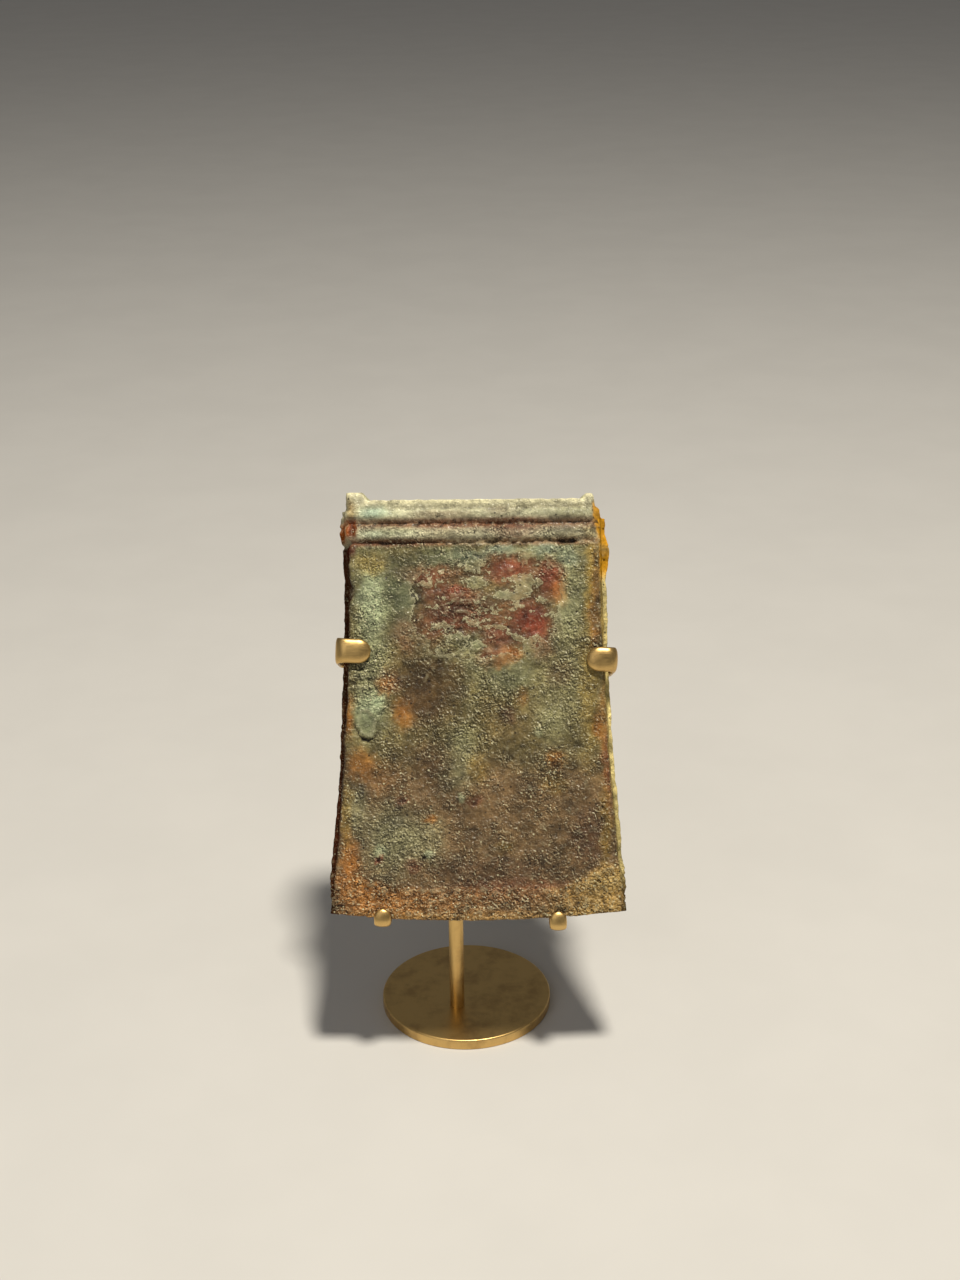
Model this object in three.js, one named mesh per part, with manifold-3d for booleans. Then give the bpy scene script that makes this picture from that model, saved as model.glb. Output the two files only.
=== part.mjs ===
// A socketed cast-iron axe head with two ridges round its mouth, held in a small brass display stand.
// Millimetres, +Z up. The viewer stands at -Y. The origin is the centre of the foot's underside.

import * as THREE from "three";
import * as BufferGeometryUtils from "three/addons/utils/BufferGeometryUtils.js";
import Module from "manifold-3d";

const wasm = await Module();
wasm.setup();

// Axe head, in its own frame: X across the face, Y through the thickness, Z up from the cutting edge
const AXE_LENGTH = 130; // cutting edge to the rim of the socket
const EDGE_WIDTH = 92; // across the cutting edge
const NECK_WIDTH = 80.6; // across the sides under the ridges, without the casting seams
const NECK_HEIGHT = 116; // where the plain body ends and the ridges begin
const NECK_THICKNESS = 24; // through the body at the neck
const BEVEL_LENGTH = 11; // length of the ground bevel above the cutting edge
const BEVEL_THICKNESS = 4.6; // through the body at the top of the bevel
const EDGE_THICKNESS = 2; // the blunted cutting edge
const EDGE_BOW = 2.6; // how much lower the edge is at its middle than at its corners
const FLARE_POWER = 2.35; // how late the sides flare out towards the edge
const DRAFT = 0.13; // how far the sides lean out, per millimetre from the face to the seam
const CORNER_RADIUS = 1.4; // the rounding between a face and a side

// Casting seams along the middle of both sides
const SEAM_HEIGHT = 1.05;
const SEAM_THICKNESS = 1.7;
const SEAM_FLASH = 1.3; // extra metal that stands out on the right seam, near the mouth
const FLASH_CENTRE = 115;
const FLASH_REACH = 9; // half the length of that flash

// Mouth: a lip and two ridges that run round it
const LIP_LENGTH = 2.4;
const LIP_HEIGHT = 0.9;
const UPPER_RIDGE = { centre: AXE_LENGTH - 4.5, width: 4.6, height: 1.6 };
const LOWER_RIDGE = { centre: AXE_LENGTH - 10.2, width: 4.3, height: 1.4 };
const GROOVE = { centre: AXE_LENGTH - 13.3, width: 2, depth: 0.5 };
const SIDE_SHARE = 0.75; // how much of their height the ridges keep on the left side
// On the right side and up to this X on the front the ridges have broken away.
const RIDGE_BREAK = { from: 36.1, to: 36.8 };

// What is left of the rim, as height above its plain level
const LEFT_HORN = { from: -33.6, to: -34.6, height: 2.5 };
const RIGHT_HORN = { from: 34.2, to: 34.9, height: 1.6 };
const CORNER_LOSS = { from: 36.9, to: 39.4, depth: 2.6 }; // beyond the right horn
const LEFT_SIDE_LOSS = 1.5;
const RIGHT_SIDE_LOSS = 4.6;
const SIDE_LOSS_ENDS = { from: 7, to: 11 }; // where the sides rise to the corners, from the mid-plane

// Socket
const SOCKET_DEPTH = 80;
const SOCKET_WALL = 4.5;
const SOCKET_FLOOR_THICKNESS = 3.4; // clear width of the socket at its floor, front to back
const SOCKET_SIDE_WALL = 5.2;
const SOCKET_TAPER = 2.6; // how much each end of the socket comes in by its floor

// Damage and crust that change the form
const EDGE_CHIP = { height: 101, reach: 4.2, depth: 1.5 }; // out of the left front corner
const SCAB = { x: -34.4, z: 62, halfWidth: 4.2, halfHeight: 8, rise: 0.9 };
const FLAKED = { x: 6, z: 98, halfWidth: 27, halfHeight: 15, rise: -0.6 };

// How the axe head is held
const LEAN = THREE.MathUtils.degToRad(29); // of its mid-plane, backwards
const CLEARANCE = 0.3; // between pieces that touch

// Stand
const FOOT_DIAMETER = 56;
const FOOT_THICKNESS = 3.5;
const FOOT_CHAMFER = 0.6;
const ROD_DIAMETER = 4.8;
const ROD_SEAT_DEPTH = 2;
const ROD_X = -3; // the rod stands a little to the left of the foot's middle
const ROD_Y = -8; // and in front of it
const ROD_BEND_RADIUS = 12;
const ROD_TOP = 91; // where the rod ends, measured up the axe head
const EDGE_HEIGHT = 47; // of the cutting edge's middle, above the top of the foot
const EDGE_REACH = 21.8; // of the cutting edge, in front of the rod
const AXE_OFFSET = 7.4; // of the axe head's middle, to the right of the rod

const STRAP_HEIGHT = 81.8; // up the axe head
const STRAP_WIDTH = 8.2;
const STRAP_THICKNESS = 1.3;
const STRAP_BEND_RADIUS = 2.6;
const STRAP_TILT = THREE.MathUtils.degToRad(2.5); // its right end is the lower one
const LEFT_TONGUE_TIP = -32.5; // where the strap's ends stop on the front face
const RIGHT_TONGUE_TIP = 34.4;

const HOOK_WIDTH = 5.6;
const HOOK_THICKNESS = 1.3;
const HOOK_BEND_RADIUS = 2;
// x is on the axe head. sag is how far a hook hangs below the edge, rise is its tip above the edge.
const LEFT_HOOK = { x: -29.8, sag: CLEARANCE, rise: 3.9 };
const RIGHT_HOOK = { x: 24.8, sag: 1.6, rise: 2.9 };
const CROSSBAR_DIAMETER = 4;
const CROSSBAR_OVERHANG = 4; // past the middle of each hook

// Fineness of the faceting
const FACE_STEPS = 13;
const BODY_STEP = 5.2;
const RIDGE_STEP = 0.95;
const SOCKET_STEPS = 8;
const BEND_STEPS = 5;
const ROUND_SIDES = 16;
const ARC_STEPS = 8; // in each round end, and in half of the rod's section
const ROD_STEPS = 30;
const FOOT_SIDES = 48;

const IRON = new THREE.MeshStandardMaterial({ color: 0x6b6450, roughness: 0.85, metalness: 0.25 });
const BRASS = new THREE.MeshStandardMaterial({ color: 0xb08d4a, roughness: 0.35, metalness: 1 });

const { lerp, smoothstep } = THREE.MathUtils;
// 1 at the middle of a stretch, falling smoothly to 0 at its ends.
const swell = (value, centre, reach) => 1 - smoothstep(Math.abs(value - centre), 0, reach);

// Form of the axe head

function halfWidth(height) {
  const down = Math.max(0, 1 - height / NECK_HEIGHT);
  return lerp(NECK_WIDTH, EDGE_WIDTH, down ** FLARE_POWER) / 2;
}

function halfThickness(height) {
  if (height < BEVEL_LENGTH) return lerp(EDGE_THICKNESS, BEVEL_THICKNESS, height / BEVEL_LENGTH) / 2;
  const up = Math.min(1, (height - BEVEL_LENGTH) / (NECK_HEIGHT - BEVEL_LENGTH));
  return lerp(BEVEL_THICKNESS, NECK_THICKNESS, up) / 2;
}

// How far each face leans away from the mid-plane, per millimetre of height.
const FACE_SLOPE = (NECK_THICKNESS - BEVEL_THICKNESS) / 2 / (NECK_HEIGHT - BEVEL_LENGTH);

const halfRound = (height, { centre, width, height: rise }) =>
  rise * Math.sqrt(Math.max(0, 1 - ((height - centre) / (width / 2)) ** 2));

// How far the section grows outwards at the ridges and the lip.
function ridgeRise(height) {
  const lip = LIP_HEIGHT * smoothstep(height, AXE_LENGTH - LIP_LENGTH - 1, AXE_LENGTH - LIP_LENGTH);
  const groove = GROOVE.depth * swell(height, GROOVE.centre, GROOVE.width / 2);
  return Math.max(halfRound(height, UPPER_RIDGE), halfRound(height, LOWER_RIDGE), lip) - groove;
}

// How far the rim stands above its plain level at a place on it. depth is from the mid-plane.
function rimRise(x, depth, isBack) {
  const leftHorn = LEFT_HORN.height * smoothstep(-x, -LEFT_HORN.from, -LEFT_HORN.to);
  const rightHorn = RIGHT_HORN.height * smoothstep(x, RIGHT_HORN.from, RIGHT_HORN.to);
  const loss = (RIGHT_HORN.height + CORNER_LOSS.depth) * smoothstep(x, CORNER_LOSS.from, CORNER_LOSS.to);
  const face = isBack ? 0 : leftHorn + rightHorn - loss;
  if (Math.abs(x) < NECK_WIDTH / 2 - SOCKET_SIDE_WALL - 1) return face;
  const side = x < 0 ? -LEFT_SIDE_LOSS : -RIGHT_SIDE_LOSS;
  return lerp(side, face, smoothstep(depth, SIDE_LOSS_ENDS.from, SIDE_LOSS_ENDS.to));
}

// The height of a row of the body at a place on it: bowed like the edge low down, and following
// the worn rim at the top.
function rowHeight(row, x, depth, isBack) {
  const bow = EDGE_BOW * (x / (EDGE_WIDTH / 2)) ** 2 * (1 - row / AXE_LENGTH);
  const rise = rimRise(x, depth, isBack);
  const whole = smoothstep(rise, -RIGHT_SIDE_LOSS, 0);
  const base = lerp(NECK_HEIGHT, AXE_LENGTH - LIP_LENGTH, whole);
  const above = Math.max(0, row - base) / (AXE_LENGTH - base);
  return row + bow + above * rise;
}

const mound = (x, z, { x: cx, z: cz, halfWidth: w, halfHeight: h, rise }) =>
  rise * (1 - smoothstep(Math.hypot((x - cx) / w, (z - cz) / h), 0.35, 1));

// Stations across a face, as shares of its half width, closer together where the rim is broken.
const FLAT_HALF = halfWidth(NECK_HEIGHT) - (DRAFT * NECK_THICKNESS) / 2 - CORNER_RADIUS;
const EVEN_REACH = 31;
const FACE_SHARES = [
  LEFT_HORN.to,
  LEFT_HORN.from,
  ...Array.from({ length: FACE_STEPS }, (_, i) => lerp(-EVEN_REACH, EVEN_REACH, i / (FACE_STEPS - 1))),
  RIGHT_HORN.from,
  RIGHT_HORN.to,
  RIDGE_BREAK.from,
  RIDGE_BREAK.to,
].map((x) => x / FLAT_HALF);

// One face and half of each side, from the left seam to the right one, as [x, depth] pairs.
// depth is measured from the mid-plane.
function bodyProfile(height, isBack) {
  const rise = ridgeRise(height);
  const wide = halfWidth(height);
  const plain = halfThickness(height);
  const seamHalf = Math.min(SEAM_THICKNESS / 2, 0.4 * plain);
  const flash = SEAM_FLASH * swell(height, FLASH_CENTRE, FLASH_REACH);
  const seam = SEAM_HEIGHT * smoothstep(height, 0, BEVEL_LENGTH);
  const chip = isBack ? 0 : EDGE_CHIP.depth * swell(height, EDGE_CHIP.height, EDGE_CHIP.reach);
  const gone = smoothstep(height, NECK_HEIGHT, NECK_HEIGHT + 1);

  const sideOf = (deep, sideRise, seamRise, bite) => {
    const corner = Math.min(CORNER_RADIUS, 0.45 * deep);
    const middle = wide + sideRise;
    const face = middle - DRAFT * plain - bite;
    return [
      [middle + seamRise, 0],
      [middle + seamRise, seamHalf * 0.7],
      [middle, seamHalf],
      [lerp(middle, face, 0.5), 0.55 * deep],
      [face + 0.25 * corner, deep - corner],
      [face - 0.25 * corner, deep - 0.25 * corner - 0.3 * bite],
      [face - corner, deep],
    ];
  };
  const left = sideOf(plain + rise, SIDE_SHARE * rise, seam, chip).map(([x, depth]) => [-x, depth]);
  const rightDepth = plain + (isBack ? rise : (1 - gone) * rise);
  const right = sideOf(rightDepth, (1 - gone) * rise, seam + flash, 0).reverse();
  const across = FACE_SHARES.map((share) => {
    const x = share * (share < 0 ? -left.at(-1)[0] : right[0][0]);
    if (isBack) return [x, plain + rise];
    const whole = 1 - gone * smoothstep(share * FLAT_HALF, RIDGE_BREAK.from, RIDGE_BREAK.to);
    return [x, plain + whole * rise + mound(x, height, SCAB) + mound(x, height, FLAKED)];
  });
  return [...left, ...across, ...right];
}

// The socket's wall on the same stations as bodyProfile, sunk below the rim by a share of its depth.
function socketProfile(share) {
  const mouthDepth = NECK_THICKNESS / 2 + LIP_HEIGHT - SOCKET_WALL;
  const deep = lerp(mouthDepth, SOCKET_FLOOR_THICKNESS / 2, share);
  const wide = NECK_WIDTH / 2 - SOCKET_SIDE_WALL - SOCKET_TAPER * share;
  const corner = Math.min(CORNER_RADIUS, 0.45 * deep);
  const side = [
    [wide, 0],
    [wide, 0.2 * deep],
    [wide, 0.35 * deep],
    [wide, 0.5 * deep],
    [wide, deep - corner],
    [wide - 0.3 * corner, deep - 0.3 * corner],
    [wide - corner, deep],
  ];
  const left = side.map(([x, depth]) => [-x, depth]);
  const across = FACE_SHARES.map((place) => [place * (wide - corner), deep]);
  return [...left, ...across, ...side.slice().reverse()];
}

// A closed ring of points, anticlockwise from above: the front from left to right, then the back.
function ring(front, back, heightAt) {
  const points = front.map(([x, depth]) => [x, -depth, heightAt(x, depth, false)]);
  for (const [x, depth] of back.slice(1, -1).reverse()) points.push([x, depth, heightAt(x, depth, true)]);
  return points;
}

// Joins rings of equal count into one closed skin. Both end rings are closed by strips from front to back.
function loft(rings) {
  const count = rings[0].length;
  const last = (rings.length - 1) * count;
  const index = [];
  for (let r = 0; r < last; r += count) {
    for (let i = 0; i < count; i++) {
      const j = (i + 1) % count;
      index.push(r + i, r + j, r + count + j, r + i, r + count + j, r + count + i);
    }
  }
  for (let k = 0; k < count / 2; k++) {
    const quad = [k, (count - k) % count, count - k - 1, k + 1];
    const corners = quad.filter((v, n) => quad.indexOf(v) === n);
    for (let n = 1; n + 1 < corners.length; n++) {
      index.push(corners[0], corners[n], corners[n + 1]);
      index.push(last + corners[0], last + corners[n + 1], last + corners[n]);
    }
  }
  const geometry = new THREE.BufferGeometry();
  geometry.setAttribute("position", new THREE.Float32BufferAttribute(rings.flat(2), 3));
  geometry.setIndex(index);
  geometry.computeVertexNormals();
  return geometry;
}

function steps(from, to, step) {
  const count = Math.max(1, Math.round((to - from) / step));
  return Array.from({ length: count }, (_, i) => lerp(from, to, i / count));
}

function axeHeadGeometry() {
  const rows = [
    ...steps(0, BEVEL_LENGTH, BEVEL_LENGTH / 3),
    ...steps(BEVEL_LENGTH, NECK_HEIGHT - 1, BODY_STEP),
    ...steps(NECK_HEIGHT - 1, AXE_LENGTH, RIDGE_STEP),
    AXE_LENGTH,
  ];
  const outside = rows.map((row) =>
    ring(bodyProfile(row, false), bodyProfile(row, true), (...place) => rowHeight(row, ...place)),
  );
  const inside = [];
  for (let i = 0; i <= SOCKET_STEPS; i++) {
    const share = i / SOCKET_STEPS;
    const profile = socketProfile(share);
    const floor = AXE_LENGTH - SOCKET_DEPTH;
    inside.push(ring(profile, profile, (...place) => lerp(rowHeight(AXE_LENGTH, ...place), floor, share)));
  }
  return loft([...outside, ...inside]);
}

// Solids that are joined or cut

function toSolid(geometry) {
  const bare = geometry.clone();
  bare.deleteAttribute("normal");
  bare.deleteAttribute("uv");
  const merged = BufferGeometryUtils.mergeVertices(bare, 1e-4);
  const vertProperties = new Float32Array(merged.attributes.position.array);
  const triVerts = new Uint32Array(merged.index.array);
  return new wasm.Manifold(new wasm.Mesh({ numProp: 3, vertProperties, triVerts }));
}

function toGeometry(solid) {
  const mesh = solid.getMesh();
  const geometry = new THREE.BufferGeometry();
  geometry.setAttribute("position", new THREE.BufferAttribute(mesh.vertProperties, 3));
  geometry.setIndex(new THREE.BufferAttribute(mesh.triVerts, 1));
  geometry.computeVertexNormals();
  return geometry;
}

// A line through corners, each rounded off over about the given radius.
function roundedLine(corners, radius) {
  const points = [corners[0]];
  for (let i = 1; i + 1 < corners.length; i++) {
    const [before, at, after] = corners.slice(i - 1, i + 2);
    const enter = at.clone().lerp(before, radius / at.distanceTo(before));
    const leave = at.clone().lerp(after, radius / at.distanceTo(after));
    points.push(...new THREE.QuadraticBezierCurve(enter, at, leave).getPoints(BEND_STEPS));
  }
  points.push(corners.at(-1));
  return points;
}

// The edge-on outline of a metal strip that follows a bent centreline.
function stripOutline(corners, radius, thickness) {
  const line = roundedLine(corners, radius);
  const offset = (side) =>
    line.map((point, i) => {
      const ahead = line[Math.min(i + 1, line.length - 1)];
      const behind = line[Math.max(i - 1, 0)];
      const along = ahead.clone().sub(behind).normalize();
      return new THREE.Vector2(-along.y, along.x).multiplyScalar((side * thickness) / 2).add(point);
    });
  return new THREE.Shape([...offset(1), ...offset(-1).reverse()]);
}

// A plate with round ends, lying in X and Z and as thick as is asked through Y.
function roundEndedBlock(left, right, bottom, top, depth) {
  const radius = (top - bottom) / 2;
  const shape = new THREE.Shape();
  shape.absarc(right - radius, bottom + radius, radius, -Math.PI / 2, Math.PI / 2, false);
  shape.absarc(left + radius, bottom + radius, radius, Math.PI / 2, (3 * Math.PI) / 2, false);
  const block = new THREE.ExtrudeGeometry(shape, { depth, bevelEnabled: false, curveSegments: ARC_STEPS });
  return block.translate(0, 0, -depth / 2).rotateX(Math.PI / 2);
}

// The strap bends round both sides of the axe head, and its round ends lie on the front face.
function strapGeometry() {
  const grip = CLEARANCE + STRAP_THICKNESS / 2;
  // The flaring sides are widest at the strap's lower corner, which the tilt brings in and down.
  const lean = Math.sin(STRAP_TILT);
  const lowest = STRAP_HEIGHT - STRAP_WIDTH / 2 - (lean * NECK_WIDTH) / 2;
  const wide = halfWidth(lowest) + SEAM_HEIGHT + (lean * STRAP_WIDTH) / 2 + grip;
  const deep = halfThickness(STRAP_HEIGHT) + grip;
  const corners = [
    [LEFT_TONGUE_TIP, -deep],
    [-wide, -deep],
    [-wide, deep],
    [wide, deep],
    [wide, -deep],
    [RIGHT_TONGUE_TIP, -deep],
  ].map(([x, y]) => new THREE.Vector2(x, y));
  const outline = stripOutline(corners, STRAP_BEND_RADIUS, STRAP_THICKNESS);
  const bent = new THREE.ExtrudeGeometry(outline, { depth: STRAP_WIDTH, bevelEnabled: false });
  bent.translate(0, 0, -STRAP_WIDTH / 2);
  // The round ends of the two tongues come from one long hole between them.
  const frontOnly = 2 * (deep - grip);
  const reach = STRAP_WIDTH / 2;
  const tips = toSolid(
    roundEndedBlock(LEFT_TONGUE_TIP - 4 * reach, LEFT_TONGUE_TIP, -reach, reach, 4 * deep),
  ).add(toSolid(roundEndedBlock(RIGHT_TONGUE_TIP, RIGHT_TONGUE_TIP + 4 * reach, -reach, reach, 4 * deep)));
  const behind = toSolid(new THREE.BoxGeometry(4 * wide, frontOnly, 2 * STRAP_WIDTH));
  const back = behind.add(behind.translate([0, deep, 0]));
  const geometry = toGeometry(toSolid(bent).intersect(tips.add(back)));
  // Both long sides follow the slope of the faces.
  const position = geometry.attributes.position;
  for (let i = 0; i < position.count; i++) {
    const y = position.getY(i);
    position.setY(i, y + Math.sign(y) * FACE_SLOPE * position.getZ(i));
  }
  return geometry;
}

// Places on the stand, worked out from where the axe head is held

const AXE_ORIGIN = new THREE.Vector3(
  ROD_X + AXE_OFFSET,
  ROD_Y - EDGE_REACH,
  FOOT_THICKNESS + EDGE_HEIGHT,
);
const onAxe = (x, y, z) =>
  new THREE.Vector3(x, y, z).applyAxisAngle(new THREE.Vector3(1, 0, 0), -LEAN).add(AXE_ORIGIN);

const edgeBow = (x) => EDGE_BOW * (x / (EDGE_WIDTH / 2)) ** 2;
// The lowest point of the blunt edge where a hook passes under it.
const edgeBottom = ({ x }) => onAxe(x, EDGE_THICKNESS / 2, edgeBow(x)).z;
const hookHeight = (hook) => edgeBottom(hook) - hook.sag - HOOK_THICKNESS / 2;
const lowestHook = Math.min(hookHeight(LEFT_HOOK), hookHeight(RIGHT_HOOK));
const crossbarHeight = lowestHook - HOOK_THICKNESS / 2 - CLEARANCE - CROSSBAR_DIAMETER / 2;
const crossbarY = ROD_Y - ROD_DIAMETER / 2 - CLEARANCE - CROSSBAR_DIAMETER / 2;

// A flat strip that runs forwards from the crossbar, passes under the edge and turns up in front of
// it. Its tip is round.
function hookGeometry(hook) {
  const lowFace = onAxe(hook.x, -EDGE_THICKNESS / 2, edgeBow(hook.x));
  const highFace = onAxe(hook.x, -BEVEL_THICKNESS / 2, BEVEL_LENGTH);
  const upFace = highFace.clone().sub(lowFace).normalize();
  const clear = (CLEARANCE + HOOK_THICKNESS / 2) / upFace.z;
  const frontOf = (z) => lowFace.y - clear + ((z - lowFace.z) * upFace.y) / upFace.z;
  const runHeight = hookHeight(hook);
  const tipHeight = edgeBottom(hook) + hook.rise;
  const corners = [
    [crossbarY + HOOK_WIDTH / 2, lowestHook],
    [frontOf(runHeight), runHeight],
    [frontOf(tipHeight), tipHeight],
  ].map(([y, z]) => new THREE.Vector2(y, z));
  const outline = stripOutline(corners, HOOK_BEND_RADIUS, HOOK_THICKNESS);
  const bent = new THREE.ExtrudeGeometry(outline, { depth: HOOK_WIDTH, bevelEnabled: false });
  // The outline is drawn in Y and Z, and the strip's width runs along X.
  bent.applyMatrix4(
    new THREE.Matrix4().makeBasis(
      new THREE.Vector3(0, 1, 0),
      new THREE.Vector3(0, 0, 1),
      new THREE.Vector3(1, 0, 0),
    ),
  );
  bent.translate(-HOOK_WIDTH / 2, 0, 0);
  const radius = HOOK_WIDTH / 2;
  const shape = new THREE.Shape();
  shape.moveTo(-radius, lowestHook - HOOK_WIDTH);
  shape.lineTo(radius, lowestHook - HOOK_WIDTH);
  shape.absarc(0, tipHeight - radius, radius, 0, Math.PI, false);
  const depth = 4 * EDGE_REACH;
  const window = new THREE.ExtrudeGeometry(shape, { depth, bevelEnabled: false, curveSegments: ARC_STEPS });
  window.rotateX(Math.PI / 2).translate(0, depth / 2, 0);
  const cut = toGeometry(toSolid(bent).intersect(toSolid(window)));
  return cut.translate(AXE_ORIGIN.x + hook.x, 0, 0);
}

function crossbarGeometry() {
  const left = AXE_ORIGIN.x + LEFT_HOOK.x - CROSSBAR_OVERHANG;
  const right = AXE_ORIGIN.x + RIGHT_HOOK.x + CROSSBAR_OVERHANG;
  const radius = CROSSBAR_DIAMETER / 2;
  const bar = new THREE.CylinderGeometry(radius, radius, right - left, ROUND_SIDES);
  return bar.rotateZ(Math.PI / 2).translate((left + right) / 2, crossbarY, crossbarHeight);
}

// The rod stands upright in the foot, then bends back and runs up behind the axe head and the strap.
function rodGeometry() {
  const behindFace = CLEARANCE + STRAP_THICKNESS + CLEARANCE + ROD_DIAMETER / 2;
  const backOf = (z) => halfThickness(z) + behindFace * Math.hypot(1, FACE_SLOPE);
  const axeX = ROD_X - AXE_ORIGIN.x;
  const low = onAxe(axeX, backOf(BEVEL_LENGTH), BEVEL_LENGTH);
  const top = onAxe(axeX, backOf(ROD_TOP), ROD_TOP);
  const bend = low.clone().lerp(top, (ROD_Y - low.y) / (top.y - low.y));
  const bottom = new THREE.Vector3(ROD_X, ROD_Y, FOOT_THICKNESS - ROD_SEAT_DEPTH + CLEARANCE);
  const enter = bend.clone().lerp(bottom, ROD_BEND_RADIUS / bend.distanceTo(bottom));
  const leave = bend.clone().lerp(top, ROD_BEND_RADIUS / bend.distanceTo(top));
  const path = new THREE.CurvePath();
  path.add(new THREE.LineCurve3(bottom, enter));
  path.add(new THREE.QuadraticBezierCurve3(enter, bend, leave));
  path.add(new THREE.LineCurve3(leave, top));
  const section = new THREE.Shape().absarc(0, 0, ROD_DIAMETER / 2, 0, 2 * Math.PI, false);
  return new THREE.ExtrudeGeometry(section, {
    steps: ROD_STEPS,
    curveSegments: ARC_STEPS,
    extrudePath: path,
  });
}

function footGeometry() {
  const radius = FOOT_DIAMETER / 2;
  const profile = [
    [0, 0],
    [radius, 0],
    [radius, FOOT_THICKNESS - FOOT_CHAMFER],
    [radius - FOOT_CHAMFER, FOOT_THICKNESS],
    [0, FOOT_THICKNESS],
  ].map(([x, y]) => new THREE.Vector2(x, y));
  const disc = new THREE.LatheGeometry(profile, FOOT_SIDES).rotateX(Math.PI / 2);
  const seatRadius = ROD_DIAMETER / 2 + CLEARANCE;
  const seat = new THREE.CylinderGeometry(seatRadius, seatRadius, 2 * ROD_SEAT_DEPTH, ROUND_SIDES);
  seat.rotateX(Math.PI / 2).translate(ROD_X, ROD_Y, FOOT_THICKNESS);
  return toGeometry(toSolid(disc).subtract(toSolid(seat)));
}

// The scene graph

function piece(name, geometry, material) {
  const mesh = new THREE.Mesh(geometry, material.clone());
  mesh.name = name;
  return mesh;
}

const held = new THREE.Group();
held.position.copy(AXE_ORIGIN);
held.rotation.x = -LEAN;
const sideStrap = piece("side_strap", strapGeometry(), BRASS);
sideStrap.position.z = STRAP_HEIGHT;
sideStrap.rotation.y = STRAP_TILT;
held.add(piece("axe_head", axeHeadGeometry(), IRON), sideStrap);

const model = new THREE.Group();
model.add(
  held,
  piece("foot_disc", footGeometry(), BRASS),
  piece("support_rod", rodGeometry(), BRASS),
  piece("lower_crossbar", crossbarGeometry(), BRASS),
  piece("left_edge_hook", hookGeometry(LEFT_HOOK), BRASS),
  piece("right_edge_hook", hookGeometry(RIGHT_HOOK), BRASS),
);

export default model;
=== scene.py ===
"""Visual model of a corroded cast-iron axe head in a small brass display stand, laid out as an add-on.

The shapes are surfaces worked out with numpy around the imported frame. Lengths inside the surface
functions are millimetres, and the finished meshes are metres in the frame's own axes.
"""

from math import radians

import bpy
import numpy as np
from mathutils import Matrix, Vector


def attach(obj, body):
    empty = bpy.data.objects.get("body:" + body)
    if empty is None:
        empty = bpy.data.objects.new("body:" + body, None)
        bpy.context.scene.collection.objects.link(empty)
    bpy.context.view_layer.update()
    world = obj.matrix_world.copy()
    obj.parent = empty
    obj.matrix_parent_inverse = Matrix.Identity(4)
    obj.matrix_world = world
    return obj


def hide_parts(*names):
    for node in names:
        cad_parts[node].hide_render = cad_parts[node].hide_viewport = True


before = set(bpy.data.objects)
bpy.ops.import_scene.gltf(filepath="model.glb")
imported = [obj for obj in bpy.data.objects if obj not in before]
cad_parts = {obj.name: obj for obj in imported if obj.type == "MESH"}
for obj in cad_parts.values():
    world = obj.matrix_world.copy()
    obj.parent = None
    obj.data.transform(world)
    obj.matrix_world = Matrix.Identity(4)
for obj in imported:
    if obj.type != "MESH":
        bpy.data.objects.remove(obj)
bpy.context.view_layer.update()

bl_info = {
    "name": "Corroded Iron Axe Head",
    "version": (1, 0, 0),
    "blender": (4, 5, 0),
    "location": "3D View > Sidebar > Axe Head",
    "description": "A socketed cast-iron axe head with its patina, in a brass display stand",
    "category": "Add Mesh",
}

MM = 0.001


# Sizes and colours that a user would change


def scalar(name, description, default, **more):
    return bpy.props.FloatProperty(name=name, description=description, default=default, **more)


def length(name, description, default):
    return scalar(name, description, default, unit="LENGTH", precision=5)


def in_degrees(name, description, degrees):
    return scalar(name, description, radians(degrees), subtype="ANGLE")


def vector(name, description, default, **more):
    return bpy.props.FloatVectorProperty(name=name, description=description, default=default, **more)


def position(name, description, default):
    return vector(name, description, default, subtype="XYZ", unit="LENGTH")


def colour(name, description, default):
    return vector(name, description, default, subtype="COLOR", size=3, min=0, max=1)


class AxeHeadSizes(bpy.types.PropertyGroup):
    """Sizes of the axe head, the same as those of its solid."""

    length: length("Length", "Cutting edge to rim", 0.130)
    edge_width: length("Edge width", "Across the cutting edge", 0.092)
    neck_width: length("Neck width", "Across the sides under the ridges", 0.0806)
    neck_height: length("Neck height", "Where the plain body ends", 0.116)
    neck_thickness: length("Neck thickness", "Through the body at the neck", 0.024)
    bevel_length: length("Bevel length", "Bevel above the cutting edge", 0.011)
    bevel_thickness: length("Bevel thickness", "Through the top of the bevel", 0.0046)
    edge_thickness: length("Edge thickness", "The blunted cutting edge", 0.002)
    edge_bow: length("Edge bow", "How far the edge's middle hangs below its corners", 0.0026)
    flare_power: scalar("Flare", "How late the sides flare out", 2.35)
    draft: scalar("Draft", "Slope of the sides towards the seams", 0.13)
    seam_height: length("Seam height", "How far the casting seams stand out", 0.00105)
    seam_flash: length("Seam flash", "Extra metal on the right seam", 0.0013)
    socket_depth: length("Socket depth", "Rim to the socket's floor", 0.080)
    socket_wall: length("Socket wall", "Front and back wall at the mouth", 0.0045)
    socket_side_wall: length("Socket side wall", "Side wall at the mouth", 0.0052)
    socket_floor: length("Socket floor", "Clear thickness at the socket's floor", 0.0034)
    lean: in_degrees("Lean", "Of the mid-plane, backwards", 29)
    seat: position("Seat", "Middle of the cutting edge", (0.0044, -0.0298, 0.0505))


class CrustRelief(bpy.types.PropertyGroup):
    """Depths of the corrosion relief."""

    crust: length("Crust", "Thickness of the crust where red iron shows through", 0.00026)
    swell: length("Swell", "Broad unevenness of the faces", 0.00042)
    grain: length("Grain", "Height of the fine grain", 0.0002)
    pits: length("Pits", "Depth of the small pits", 0.0003)
    edge_crust: length("Edge crust", "Roughness of the band along the edge", 0.00055)
    seed: bpy.props.IntProperty(name="Seed", description="Seed of all the noise", default=11, min=0)


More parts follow.
